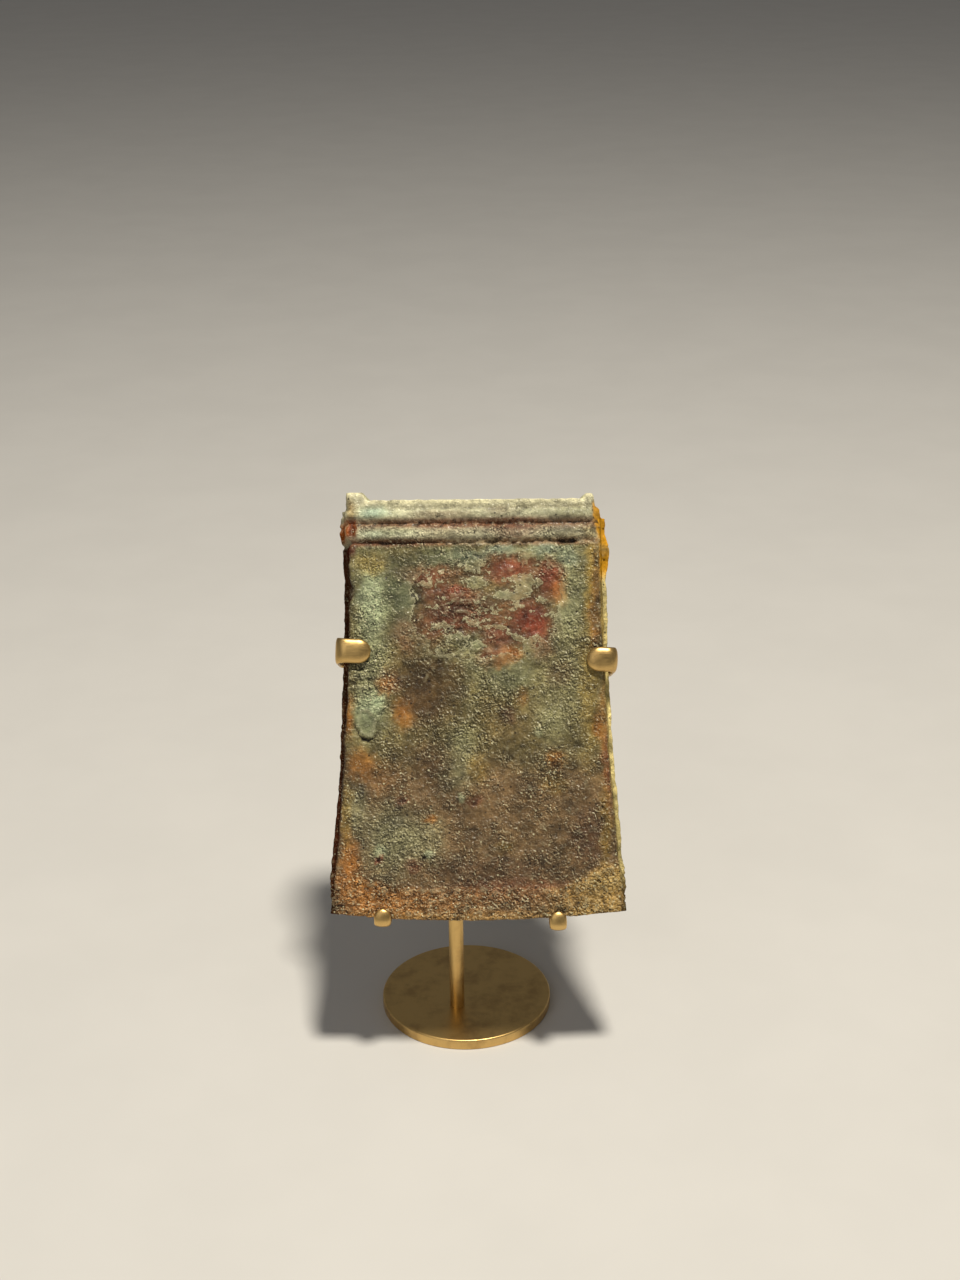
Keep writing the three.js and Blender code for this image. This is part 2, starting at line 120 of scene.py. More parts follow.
class PatinaColours(bpy.types.PropertyGroup):
    """Colours of the corroded iron."""

    olive: colour("Olive", "Upper half of the faces", (0.151, 0.117, 0.045))
    mauve: colour("Mauve brown", "Lower half of the faces", (0.142, 0.090, 0.038))
    green: colour("Green", "Pale green crust", (0.202, 0.192, 0.094))
    frost: colour("Frost", "Pale blue green dust", (0.380, 0.500, 0.370))
    mint: colour("Mint", "Palest green crust", (0.420, 0.450, 0.250))
    teal: colour("Teal", "Blue-grey crust", (0.081, 0.083, 0.039))
    brown: colour("Brown", "Dark olive brown", (0.070, 0.042, 0.014))
    plum: colour("Plum", "Dark purple brown", (0.095, 0.048, 0.022))
    maroon: colour("Maroon", "Old red rust", (0.171, 0.052, 0.024))
    crimson: colour("Crimson", "Brighter red rust", (0.192, 0.043, 0.019))
    orange: colour("Orange", "Orange rust", (0.280, 0.115, 0.016))
    ochre: colour("Ochre", "Yellow-brown tints", (0.258, 0.168, 0.035))
    rust: colour("Rust", "Brown crust along the edge", (0.225, 0.128, 0.048))
    tan: colour("Tan", "Yellow crust near the right corner", (0.318, 0.208, 0.059))
    scar: colour("Fresh scar", "Yellow rust on the broken side", (0.560, 0.265, 0.008))
    # The darkness of this colour is partly painted shade, for the side turned away from the light
    side: colour("Sides", "Dark maroon of the narrow sides", (0.060, 0.020, 0.009))
    neck: colour("Ridges", "Dusty ridges round the mouth", (0.550, 0.545, 0.365))
    # Pale grains, and also the colour of painted highlights and glints
    speck: colour("Specks", "Pale grains", (0.740, 0.690, 0.430))
    # Painted shade: near black, for hollows, the undersides of lumps and the depth of the socket
    soot: colour("Recesses", "Darkest hollows", (0.010, 0.005, 0.002))


HOOK_VALUES = "Place along the edge, sag below it, rise above it"


class StandSizes(bpy.types.PropertyGroup):
    """Sizes of the brass stand, the same as those of its solids."""

    clearance: length("Clearance", "Gap between pieces that touch", 0.0003)
    foot_diameter: length("Foot diameter", "Across the foot disc", 0.056)
    foot_thickness: length("Foot thickness", "Of the foot disc", 0.0035)
    rod_diameter: length("Rod diameter", "Of the support rod", 0.0048)
    rod_x: length("Rod place across", "From the foot's middle", -0.003)
    rod_y: length("Rod place in depth", "From the foot's middle", -0.008)
    rod_top: length("Rod top", "Measured up the axe head", 0.091)
    rod_bend: length("Rod bend", "Length of each leg of the bend", 0.012)
    seat_depth: length("Rod seat", "How deep the rod stands in the foot", 0.002)
    strap_height: length("Strap height", "Up the axe head", 0.0818)
    strap_width: length("Strap width", "Of the side strap", 0.0082)
    strap_thickness: length("Strap thickness", "Of the side strap", 0.0013)
    strap_bend: length("Strap bend", "Length of each leg of its bends", 0.0026)
    strap_tilt: in_degrees("Strap tilt", "Right end lower", 2.5)
    left_tongue: length("Left tongue", "Where it ends on the face", -0.0325)
    right_tongue: length("Right tongue", "Where it ends on the face", 0.0344)
    hook_width: length("Hook width", "Of both hooks", 0.0056)
    hook_thickness: length("Hook thickness", "Of both hooks", 0.0013)
    hook_bend: length("Hook bend", "Length of each leg of its bend", 0.002)
    left_hook: vector("Left hook", HOOK_VALUES, (-0.0298, 0.0003, 0.0039), unit="LENGTH")
    right_hook: vector("Right hook", HOOK_VALUES, (0.0248, 0.0016, 0.0029), unit="LENGTH")
    crossbar_diameter: length("Crossbar diameter", "Of the bar behind the edge", 0.004)
    crossbar_overhang: length("Crossbar overhang", "Past the middle of each hook", 0.004)
    brass: colour("Brass", "Colour of the stand's metal", (0.69, 0.465, 0.178))
    tarnish: colour("Tarnish", "Brown film in the dull places", (0.30, 0.17, 0.065))


class StudioSettings(bpy.types.PropertyGroup):
    """The floor, the lamps and the camera."""

    floor_size: length("Floor size", "Side of the square floor", 9.0)
    floor_colour: colour("Floor", "Pale floor", (0.66, 0.645, 0.62))
    key_power: scalar("Key", "Overhead lamp in watts", 27.0, unit="POWER")
    fill_power: scalar("Fill", "Front lamp in watts", 1.5, unit="POWER")
    sky: scalar("Sky", "Strength of the even light", 0.14)
    camera_place: position("Camera place", "Where the camera stands", (0.0058, -0.5322, 0.3705))
    camera_pitch: in_degrees("Camera pitch", "Downwards", 24.1)
    camera_roll: in_degrees("Camera roll", "Clockwise", 0.61)
    focal_pixels: scalar("Focal length", "In pixels of a frame 1280 pixels high", 1893.0)


# Noise, in whole arrays


def smoothstep(low, high, value):
    """0 below low, 1 above high, and a cubic in between."""
    t = np.clip((value - low) / (high - low), 0, 1)
    return t * t * (3 - 2 * t)


class Noise:
    """Seeded gradient noise and cell noise on points in space."""

    def __init__(self, seed):
        rng = np.random.default_rng(seed)
        self.table = rng.permutation(256)
        directions = rng.normal(size=(256, 3))
        self.directions = directions / np.linalg.norm(directions, axis=1, keepdims=True)
        self.offsets = rng.random((256, 3))

    def corner(self, cell):
        """A number from 0 to 255 for each cell of the unit grid."""
        x, y, z = (cell[..., i] & 255 for i in range(3))
        return self.table[(self.table[(self.table[x] + y) & 255] + z) & 255]

    def smooth(self, points):
        """A random direction at each grid corner times the offset from it, blended by a quintic."""
        cell = np.floor(points).astype(np.int64)
        local = points - cell
        fade = local**3 * (local * (local * 6 - 15) + 10)
        total = np.zeros(points.shape[:-1])
        for step in np.ndindex(2, 2, 2):
            step = np.array(step)
            slope = self.directions[self.corner(cell + step)]
            weight = np.prod(np.where(step == 1, fade, 1 - fade), axis=-1)
            total += weight * np.sum(slope * (local - step), axis=-1)
        return total * 1.5

    def cloud(self, points, size, octaves=4, gain=0.5):
        """Octaves of smooth noise, each half the size of the last one, scaled to about -1 to 1."""
        total, weight, strength = 0.0, 1.0, 0.0
        for octave in range(octaves):
            total = total + weight * self.smooth(points / size * 2**octave + 17.3 * octave)
            strength += weight
            weight *= gain
        return total / strength * 1.6

    def cells(self, points, size):
        """Distance to the nearest of one random point per grid cell, and that cell's number, 0 to 1."""
        scaled = points / size
        cell = np.floor(scaled).astype(np.int64)
        nearest = np.full(points.shape[:-1], 9.0)
        number = np.zeros(points.shape[:-1])
        for step in np.ndindex(3, 3, 3):
            near = cell + np.array(step) - 1
            key = self.corner(near)
            distance = np.linalg.norm(near + self.offsets[key] - scaled, axis=-1)
            closer = distance < nearest
            nearest = np.where(closer, distance, nearest)
            number = np.where(closer, key / 255, number)
        return nearest * size, number


# Tables of colours and places, in millimetres


# Soft tints, each laid over the ones before it: colour, then across, up, half width, half height, strength
WASHES = (
    ("frost", (
        (8, 114.3, 5, 1.8, 0.3), (23, 114.8, 5, 1.8, 0.35), (-2, 112.5, 6, 1.6, 0.25),
        (29, 112, 3, 3, 0.25),
    )),
    ("rust", ((-15, 74, 10, 12, 0.3),)),
    ("maroon", ((-17, 68, 6, 8, 0.3), (-15, 104, 6, 5, 0.55), (-14, 92, 7, 7, 0.5))),
    ("brown", ((-19, 96, 4, 6, 0.3),)),
    ("rust", ((10, 60, 8, 6, 0.2),)),
    ("green", ((-32, 101, 6, 19, 0.95),)),
    ("mint", ((-32, 98, 4, 12, 0.25),)),
    ("green", ((-33, 79, 5, 12, 0.6), (-33, 64, 5, 8, 0.7), (29, 100, 6, 17, 0.55), (27, 72, 8, 12, 0.3))),
    ("brown", ((-11, 75, 7, 8, 0.25),)),
    ("green", (
        (11, 76, 8, 5, 0.55), (-1, 73, 3, 8, 0.5), (-5, 50, 5, 9, 0.45), (-2, 58, 5, 4, 0.4),
        (-27, 25, 9, 11, 0.6), (-38, 34, 4, 8, 0.5), (-16, 25, 6, 8, 0.4), (23, 60, 5, 6, 0.35),
        (-10, 115, 8, 2, 0.4), (2, 84.5, 14, 2.5, 0.35), (20, 113.5, 12, 2.5, 0.6),
    )),
    ("brown", (
        (-5, 96, 8, 4, 0.3), (-14, 72, 11, 13, 0.8), (-17, 82, 8, 5, 0.3), (5, 66, 7, 8, 0.25),
        (13, 52, 12, 6, 0.3), (-20, 52, 8, 5, 0.35), (-12, 47, 6, 5, 0.4),
    )),
    ("plum", (
        (-14, 50, 7, 6, 0.35), (35, 25, 6, 9, 0.6), (6, 15, 20, 4, 0.4), (26, 76, 4, 4, 0.45),
        (10, 63, 3, 2.5, 0.7), (-8, 93, 7, 4, 0.35),
    )),
    ("teal", (
        (-23, 102, 6, 11, 0.85), (-22, 90, 4, 4, 0.4), (-9, 112, 10, 3.2, 0.7), (0, 87, 9, 3, 0.45),
        (9, 99.5, 5, 2.2, 0.6), (1, 99, 5, 2.6, 0.4), (-6, 105, 5, 1.8, 0.4), (-8, 44, 4, 5, 0.3),
        (9, 73, 7, 4, 0.35),
    )),
    ("maroon", (
        (-12, 107, 11, 3.2, 0.5), (10, 108, 9, 5, 0.75), (23, 105, 4.5, 6, 0.8), (-6, 100, 9, 4, 0.6),
        (-4, 93, 9, 5, 0.6), (8, 94, 8, 6, 0.45), (18, 92, 6.5, 6.5, 0.9), (8, 87, 6, 4, 0.7),
        (-22, 89, 3.5, 6, 0.4), (5, 81, 5, 3, 0.65), (15, 100, 5, 3, 0.4), (21, 84, 4, 3.5, 0.45),
        (-27, 74, 4, 4, 0.35), (12, 8.5, 22, 3.5, 0.45), (-20, 17, 3, 2, 0.5), (41, 45, 2, 13, 0.7),
        (-23, 37, 2.2, 1.6, 0.5), (-1, 36.8, 2, 1.6, 0.45),
    )),
    ("crimson", (
        (18, 92.5, 5, 4.5, 0.36), (12, 110, 6, 2.6, 0.3), (23, 107.5, 3, 4, 0.3), (0, 92, 3, 2, 0.4),
        (-6, 102, 4, 1.6, 0.55), (-30.6, 18.6, 1.2, 1, 0.9),
    )),
    ("orange", ((26.5, 101.5, 2.8, 4.8, 0.5),)),
    ("crimson", ((26.5, 101.5, 2.6, 4.6, 0.15),)),
    ("orange", (
        (-23, 63.5, 3.4, 4.8, 0.52), (-36, 48.5, 4, 5, 0.5), (-30, 45, 5, 5, 0.2),
        (11.5, 82.2, 3.6, 2.2, 0.6),
    )),
    ("crimson", ((11.5, 82, 3.4, 2, 0.25),)),
    ("orange", (
        (7, 79.8, 4, 2, 0.4), (24.5, 49, 2.8, 3, 0.6), (-40, 14, 3.2, 13, 0.6), (-33.5, 7, 4.5, 4.5, 0.85),
        (-22, 6, 8, 3.4, 0.6), (-39.6, 63, 1.7, 6, 0.7), (37.5, 59, 1.6, 4, 0.7),
        (-14.7, 31.3, 1.7, 1.3, 0.55), (37, 87, 1.6, 4, 0.55), (14, 68.5, 2, 2.6, 0.35),
        (-28, 73, 3, 2.6, 0.3),
    )),
    ("ochre", (
        (0.5, 46.5, 3, 3.8, 0.4), (-32, 110.5, 5, 4, 0.6), (-1, 72, 2, 4.5, 0.2), (1, 59, 6, 3.8, 0.15),
        (35, 70, 3, 22, 0.4), (40, 30, 2, 16, 0.5), (-41, 33, 2, 10, 0.5), (8.5, 22.5, 3, 2, 0.45),
        (24, 42, 4, 3, 0.4), (36.4, 104, 2.4, 14, 0.8),
    )),
    ("rust", ((37.6, 98, 1.8, 16, 0.5),)),
    ("orange", ((37.6, 98, 1.6, 14, 0.25), (39.5, 60, 1.6, 13, 0.4))),
    ("brown", ((38, 100, 1.5, 18, 0.5),)),
    ("mint", (
        (-34, 66, 4, 5, 0.35), (-30, 21.6, 2.4, 1.6, 0.3), (-5, 37.7, 1.3, 1.3, 0.4),
        (-15.4, 20.6, 1.6, 1.2, 0.4), (18.9, 57.8, 1.6, 1.4, 0.25), (-30, 68, 2.6, 2.4, 0.4),
    )),
    ("brown", ((24.6, 47.7, 2, 1.8, 0.6),)),
)
# Soft tints of the ridges round the mouth, in the same way
RIDGE_WASHES = (
    ("mint", ((-30, 126, 6, 2.6, 0.6),)),
    ("teal", ((-28, 124.2, 5, 1.4, 0.35),)),
    ("mint", ((-26, 120.4, 8, 1.5, 0.45),)),
    ("maroon", ((-10, 125.6, 9, 1.2, 0.4), (8, 126.4, 5, 1.5, 0.35))),
    ("green", ((31, 126, 7, 3, 0.6), (-2, 126.4, 22, 2.6, 0.22))),
    ("maroon", ((12, 120, 11, 1.8, 0.4),)),
    ("rust", ((-8, 119.6, 9, 1.8, 0.35),)),
    ("frost", ((-31.5, 126.2, 5, 2, 0.75), (-31, 119.3, 3, 1.2, 0.3))),
    ("green", ((18, 127, 5, 2, 0.35),)),
    ("brown", ((30, 120, 10, 2.2, 0.55), (-4, 122.8, 30, 1.4, 0.45))),
    ("maroon", ((12, 122.6, 9, 1.8, 0.5),)),
    ("orange", ((14, 122.8, 6, 1, 0.35),)),
    ("rust", ((-14, 122.4, 14, 1.4, 0.35),)),
    ("tan", ((-38.5, 127, 2, 4, 0.7), (30, 118, 6, 1.4, 0.2))),
    ("brown", ((12, 117.6, 10, 1.4, 0.4),)),
    ("ochre", ((36, 119, 2.5, 3, 0.5),)),
    ("brown", ((-16, 125, 5, 1.2, 0.25),)),
    ("teal", ((22, 125, 6, 1.4, 0.25),)),
)
# Patches of noise on the back and the sides: colour, size in millimetres, level where they start
BACK_PATCHES = (
    ("brown", 12, 0.05), ("green", 11, 0.05), ("teal", 9, 0.25), ("maroon", 10, 0.2), ("orange", 6, 0.5),
)
# The area where the crust has flaked, the flakes that still stand in it, and its barest places: across, up,
# half width, half height
FLAKED_AREA = (3, 97, 25, 17)
FLAKES = (
    (-0.3, 104.1, 4, 2.2), (11, 100.2, 6.4, 1.8), (0.2, 109.8, 3.4, 2.5), (15.1, 104.1, 2.7, 4.4),
    (-5.5, 87.6, 4.4, 1.1), (1, 84.8, 5, 1.3), (0.8, 77.8, 4.6, 3.2), (14, 78.2, 4.2, 2.2),
    (-12, 112.6, 8.5, 2.6), (29.5, 96, 5, 12), (26, 113, 7, 2.6), (10.5, 114.3, 7, 1.4), (-22.5, 98, 5, 7),
    (-7.6, 98, 3.2, 0.8), (1.6, 95.4, 3.4, 0.7), (-10.5, 91.2, 3.6, 0.9), (7, 90.4, 2.6, 0.9),
    (12.6, 87.4, 2.6, 0.9), (20.6, 98.6, 2.6, 1), (-15.6, 104, 3, 0.8),
)
BARE_PLACES = (
    (18, 92.5, 7, 5.5), (11, 109, 8, 3), (24, 105, 4, 6), (8, 86, 6, 3), (26.5, 101, 3.4, 5),
    (-6, 102, 6, 2), (-4, 96.2, 7.5, 3.6),
)
# The flake that stands up at the left, above a crack
RAISED_FLAKE = (-34, 61.2, 3.4, 5.2)
# Places with folds of crust: height of the folds, wander of the outline, then the place
RIBBED = ((0.42, 1, -35, 75, 8, 6), (0.5, 2, -5, 97, 9, 6), (0.22, 3, -3, 84, 17, 9), (0.2, 3, 2, 68, 9, 8))
# Rough places, and smooth ones with a minus: the place, then the strength
ROUGHNESS = (
    (-33, 75, 8, 10, 0.6), (5, 70, 7, 7, 0.5), (-31, 99, 6, 15, 0.25), (8, 32, 30, 16, -0.08),
    (-26, 22, 14, 14, 0.3), (30, 78, 8, 20, 0.25), (-8, 87, 14, 5, 0.4), (-3, 108, 24, 8, 0.2),
    (23, 46, 6, 7, 0.5), (-7, 56, 12, 7, 0.35), (-4, 96, 9, 7, 0.4), (-15, 71, 7, 9, -0.5),
    (13, 78, 7, 3, -0.6), (18, 92, 6, 5, -0.5), (12, 108, 7, 4, -0.4), (26, 101, 3, 5, -0.6),
    (-34, 61, 5, 6, -0.5), (-23, 64, 4, 5, -0.4), (-36, 48, 5, 5, -0.4), (14, 54, 8, 6, -0.3),
    (-20, 103, 7, 10, -0.25),
)
# Small hollows: across, up, radius, depth
HOLLOWS = (
    (-30.6, 18.8, 1.1, 0.5), (-16.7, 19.4, 0.9, 0.6), (24.6, 47.7, 2.2, 0.35), (-1, 36.8, 2, 0.35),
    (-23.1, 37.1, 1.4, 0.35), (0, 119.7, 0.5, 0.6), (31.8, 101.4, 0.5, 0.5), (31.6, 95, 0.5, 0.5),
    (-16.2, 75.6, 0.7, 0.5), (-14.6, 74, 0.6, 0.5), (-36.2, 75, 1.6, 0.3), (-33.4, 74.2, 1.2, 0.25),
    (-38, 73.6, 1, 0.3), (-32.3, 70.9, 0.8, 0.25), (-30.9, 71.8, 0.6, 0.4), (9, 60, 0.5, 0.4),
    (6.3, 58.4, 0.6, 0.4), (-17.8, 85.2, 0.6, 0.4),
)
# Small knobs: across, up, radius, height
KNOBS = (
    (-30.4, 20.6, 1.3, 0.5), (-15.2, 20.9, 1.1, 0.6), (-4.9, 37.7, 0.9, 0.5), (18.9, 57.8, 1.6, 0.35),
    (-15.4, 75.9, 1.2, 0.3), (8.9, 22.5, 1, 0.3), (12, 21.9, 0.7, 0.3), (-34.8, 76.2, 1.6, 0.35),
    (14.6, 128.6, 1.6, 0.3), (-12, 38.5, 0.8, 0.3),
)


def nearness(x, z, across, up, half_width, half_height):
    """Distance from a place's middle, 1 on its ellipse."""
    return np.hypot((x - across) / half_width, (z - up) / half_height)


def tint(colours, *layers):
    """Moves the colours towards each layer's colour by its weight, one layer after the other."""
    for weight, colour in layers:
        colours = colours + weight[..., None] * (colour - colours)
    return colours


def wash(colours, table, x, z, inside, palette):
    """Lays the soft tints of a table over the colours, inside a mask."""
    for key, places in table:
        for *place, strength in places:
            weight = strength * (1 - smoothstep(0.3, 1.5, nearness(x, z, *place))) * inside
            colours = tint(colours, (weight, palette[key]))
    return colours


# The axe head's form


def swell_at(value, centre, reach):
    """1 at the centre of a stretch, falling smoothly to 0 at its ends."""
    return 1 - smoothstep(0, reach, np.abs(value - centre))


class AxeForm:
    """The axe head's sections as functions of height, in millimetres, in its own upright frame."""

    # Steps of the grid, across and along
    FACE_COLUMNS = 139
    SIDE_COLUMNS = 9
    CORNER_COLUMNS = 3
    BEVEL_ROWS = 21
    BODY_ROWS = 190
    RIDGE_ROWS = 35
    RIM_ROWS = 3
    SOCKET_ROWS = 21
    CORNER_RADIUS = 1.4
    # Length and rise of the lip
    LIP = (2.4, 0.9)
    # Distance below the rim, width, and rise or depth of the ridges and of the groove under them
    RIDGES = ((4.5, 4.6, 1.6), (10.2, 4.3, 1.4))
    GROOVE = (13.3, 2.0, 0.5)
    # Distance below the rim and half width of the valley between the ridges
    VALLEY = (7.4, 2.9)
    # Share of the ridges' rise that the left side gets
    SIDE_SHARE = 0.75
    # Where each loss or horn starts and is whole, measured from the middle, and its height if it has one
    RIDGE_BREAK = (36.1, 36.8)
    LEFT_HORN = (33.6, 34.6, 2.5)
    RIGHT_HORN = (34.2, 34.9, 1.6)
    CORNER_LOSS = (36.9, 37.3, 1.9)
    CORNER_SLOPE = (37.3, 40.0, 2.4)
    # How far the rim has sunk at the left side and at the right side
    SIDE_LOSS = (1.5, 4.6)
    # Height of the chip's middle, its reach and its depth
    CHIP = (101.0, 4.2, 1.5)
    SOCKET_TAPER = 2.6

    def __init__(self, sizes, relief):
        for key in AxeHeadSizes.__annotations__:
            value = getattr(sizes, key)
            setattr(self, key, value if key in ("flare_power", "draft", "lean", "seat") else value / MM)
        self.relief = {key: getattr(relief, key) / MM for key in CrustRelief.__annotations__ if key != "seed"}
        self.noise = Noise(relief.seed)

    def half_width(self, height):
        """Neck to edge, moved by the share of the way down to the flare's power."""
        down = np.clip(1 - height / self.neck_height, 0, None)
        return (self.neck_width + (self.edge_width - self.neck_width) * down**self.flare_power) / 2

    def half_thickness(self, height):
        """Straight lines from the edge to the bevel's top and from there to the neck."""
        levels = (0, self.bevel_length, self.neck_height)
        return np.interp(height, levels, (self.edge_thickness, self.bevel_thickness, self.neck_thickness)) / 2

    def ridge_rise(self, height):
        """The higher of the two worn, round-backed ridges and the lip, less the groove under them."""
        below = self.length - height
        lip_length, lip_height = self.LIP
        rise = lip_height * (1 - smoothstep(lip_length, lip_length + 1, below))
        for centre, width, top in self.RIDGES:
            dome = np.clip(1 - ((below - centre) / (0.56 * width)) ** 2, 0, None) ** 0.7
            rise = np.maximum(rise, top * dome)
        centre, width, depth = self.GROOVE
        return rise - depth * swell_at(below, centre, width / 2)

    def rim_rise(self, x, depth, is_back):
        """Horns at both front corners, losses beyond the right one and along both sides."""
        face = self.LEFT_HORN[2] * smoothstep(self.LEFT_HORN[0], self.LEFT_HORN[1], -x)
        face = face + self.RIGHT_HORN[2] * smoothstep(self.RIGHT_HORN[0], self.RIGHT_HORN[1], x)
        loss = self.RIGHT_HORN[2] + self.CORNER_LOSS[2]
        start, stop, fall = self.CORNER_SLOPE
        slope = fall * np.clip((x - start) / (stop - start), 0, 1)
        lost = loss * smoothstep(self.CORNER_LOSS[0], self.CORNER_LOSS[1], x)
        face = np.where(is_back, 0, face - slope - lost)
        side = np.where(x < 0, -self.SIDE_LOSS[0], -self.SIDE_LOSS[1])
        at_corner = side + (face - side) * smoothstep(7, 11, depth)
        inner = self.neck_width / 2 - self.socket_side_wall - 1
        return np.where(np.abs(x) < inner, face, at_corner)

    def quarter(self, middle, face_x, deep, seam):
        """From a seam round to the start of a face: the seam's bump, the sloping side, the corner's arc.

        All inputs are columns of values by height. Returns x and depth with a column for each station.
        """
        corner = np.minimum(self.CORNER_RADIUS, 0.45 * deep)
        flat = deep - corner
        stations = np.arange(self.SIDE_COLUMNS + 1)
        even = flat * stations[None, :4] / self.SIDE_COLUMNS
        close = np.minimum(np.array([0, 0.35, 0.7, 1.0])[None, :], even)
        share = (stations[None, 4:] - 3) / (self.SIDE_COLUMNS - 3)
        depth = np.concatenate([close, close[:, -1:] + (flat - close[:, -1:]) * share], axis=1)
        slope = (middle - face_x) / deep
        bump = np.sqrt(np.clip(1 - (depth / 0.85) ** 2, 0, None)) ** 0.7
        x = middle - slope * depth + seam * bump
        angle = np.linspace(0, np.pi / 2, self.CORNER_COLUMNS + 1)[None, 1:]
        start = middle - slope * flat
        arc_x = start - corner + corner * np.cos(angle)
        arc_depth = flat + corner * np.sin(angle)
        return np.concatenate([x, arc_x], axis=1), np.concatenate([depth, arc_depth], axis=1)

    def outside_half(self, height, is_back):
        """One face with half of each side, from the left seam to the right one."""
        column = height[:, None]
        rise = self.ridge_rise(column)
        wide, plain = self.half_width(column), self.half_thickness(column)
        low = smoothstep(0, self.bevel_length, column)
        flash = self.seam_flash * swell_at(column, 115, 9)
        gone = smoothstep(self.neck_height, self.neck_height + 1, column)
        left_middle = wide + self.SIDE_SHARE * rise
        right_middle = wide + (1 - gone) * rise
        right_deep = plain + (rise if is_back else (1 - gone) * rise)
        slope = self.draft * plain
        left_seam, right_seam = self.seam_height * low, (self.seam_height + flash) * low
        left_x, left_deep = self.quarter(left_middle, left_middle - slope, plain + rise, left_seam)
        right_x, right_depth = self.quarter(right_middle, right_middle - slope, right_deep, right_seam)
        if not is_back:
            centre, reach, bite = self.CHIP
            towards_face = smoothstep(0.55, 0.95, left_deep / (plain + rise))
            left_x = left_x - bite * swell_at(column, centre, reach) * towards_face
        share = np.linspace(0, 1, self.FACE_COLUMNS + 2)[None, 1:-1]
        face_x = -left_x[:, -1:] + (right_x[:, -1:] + left_x[:, -1:]) * share
        broken = 0 if is_back else gone * smoothstep(*self.RIDGE_BREAK, face_x)
        face_depth = plain + (1 - broken) * rise + 0 * face_x
        x = np.concatenate([-left_x, face_x, right_x[:, ::-1]], axis=1)
        depth = np.concatenate([left_deep, face_depth, right_depth[:, ::-1]], axis=1)
        return x, depth

    def inside_half(self, share):
        """The socket's wall on the same stations, sunk below the rim by a share of its depth."""
        share = share[:, None]
        mouth = self.neck_thickness / 2 + self.LIP[1] - self.socket_wall
        deep = mouth + (self.socket_floor / 2 - mouth) * share
        wide = self.neck_width / 2 - self.socket_side_wall - self.SOCKET_TAPER * share
        side_x, side_depth = self.quarter(wide, wide, deep, 0 * deep)
        reach = side_x[:, -1:]
        face_end = self.neck_width / 2 - self.CORNER_RADIUS
        outer = np.linspace(-1, 1, self.FACE_COLUMNS + 2)[None, 1:-1] * face_end
        even = reach - 4
        squeeze = 4 / (face_end - even)
        place = np.clip(outer, -even, even)
        place = place + (outer - place) * squeeze
        x = np.concatenate([-side_x, place, side_x[:, ::-1]], axis=1)
        depth = np.concatenate([side_depth, deep + 0 * place, side_depth[:, ::-1]], axis=1)
        return x, depth

    def face_slope(self):
        """How much half the thickness grows with the height, above the bevel."""
        return (self.neck_thickness - self.bevel_thickness) / 2 / (self.neck_height - self.bevel_length)

    @staticmethod
    def ring(front, back):
        """Joins the front half and the mirrored back half into closed rings, anticlockwise from above."""
        (fx, fd), (bx, bd) = front, back
        x = np.concatenate([fx, bx[:, -2:0:-1]], axis=1)
        y = np.concatenate([-fd, bd[:, -2:0:-1]], axis=1)
        is_back = np.concatenate([np.zeros(fx.shape, bool), np.ones(bx[:, 1:-1].shape, bool)], axis=1)
        return x, y, is_back

    def raise_rows(self, row, x, y, is_back):
        """Height of each point: its row, the edge's bow low down, and the worn rim at the top."""
        bow = self.edge_bow * (x / (self.edge_width / 2)) ** 2 * (1 - row / self.length)
        points = np.stack([x, y, 0 * x], axis=-1)
        fray = 0.28 * self.noise.cloud(points, 3.2, 3) + 0.2 * swell_at(x, 14.6, 3) * ~is_back
        rise = self.rim_rise(x, np.abs(y), is_back)
        whole = smoothstep(-self.SIDE_LOSS[1], 0, rise)
        base = self.neck_height + (self.length - self.LIP[0] - self.neck_height) * whole
        above = np.clip(row - base, 0, None) / (self.length - base)
        ragged = 0.42 * self.noise.cloud(points, 2.6, 3, 0.7) * (1 - smoothstep(0, 3.5, row))
        return row + bow + above * (rise + fray * smoothstep(0.2, 1, above)) + ragged


class Skin:
    """Points of the axe head's outside, with the noises and masks that its features share."""

    def __init__(self, form, x, y, z, is_back, outward):
        self.form, self.x, self.y, self.z, self.is_back = form, x, y, z, is_back
        self.points = np.stack([x, y, z], axis=-1)
        side = smoothstep(0.75, 0.95, np.abs(outward[..., 0]))
        between = smoothstep(0.92, 0.7, np.abs(y) / (form.half_thickness(z) + 0.01))
        self.side = np.maximum(side, between * smoothstep(1.6, 1.0, form.half_width(z) - np.abs(x)))
        self.front = np.where(is_back, 0.0, 1.0) * (1 - self.side)
        self.neck = smoothstep(form.neck_height - 0.5, form.neck_height + 1.2, z)
        self.wander = self.cloud(6, 3, 0.6, 40)
        self.ragged = self.cloud(2.4, 3, 0.65, 90)
        self.coarse = self.cloud(3, 3, 0.6, 130)
        self.grain = self.cloud(1.5, 3, 0.65)

    def cloud(self, size, octaves=4, gain=0.5, shift=0, stretch=(1, 1, 1)):
        """Noise at the points, stretched along the axes and shifted to another part of the noise."""
        return self.form.noise.cloud(self.points * np.array(stretch) + shift, size, octaves, gain)


def standing_crust(skin):
    """How flaked a place is, and a level that passes 0 on the outline of each flake that still stands."""
    x, z, wander, ragged = skin.x, skin.z, skin.wander, skin.ragged
    inside = nearness(x + 4 * wander, z + 3 * wander + 2 * ragged, *FLAKED_AREA)
    flaked = (1 - smoothstep(0.7, 1.3, inside)) * skin.front
    flake = skin.cloud(7, 5, 0.6, 55, (1, 1, 1.6)) - 0.2
    for place in FLAKES:
        flake = np.maximum(flake, 0.9 - nearness(x + 1.6 * wander, z + 1.1 * ragged, *place))
    for place in BARE_PLACES:
        bare = nearness(x + 3 * wander + ragged, z + 2 * ragged, *place)
        flake = flake - 0.6 * (1 - smoothstep(0.3, 1.4, bare))
    return flaked, flake + 1.5 * (1 - smoothstep(0.1, 0.7, flaked))


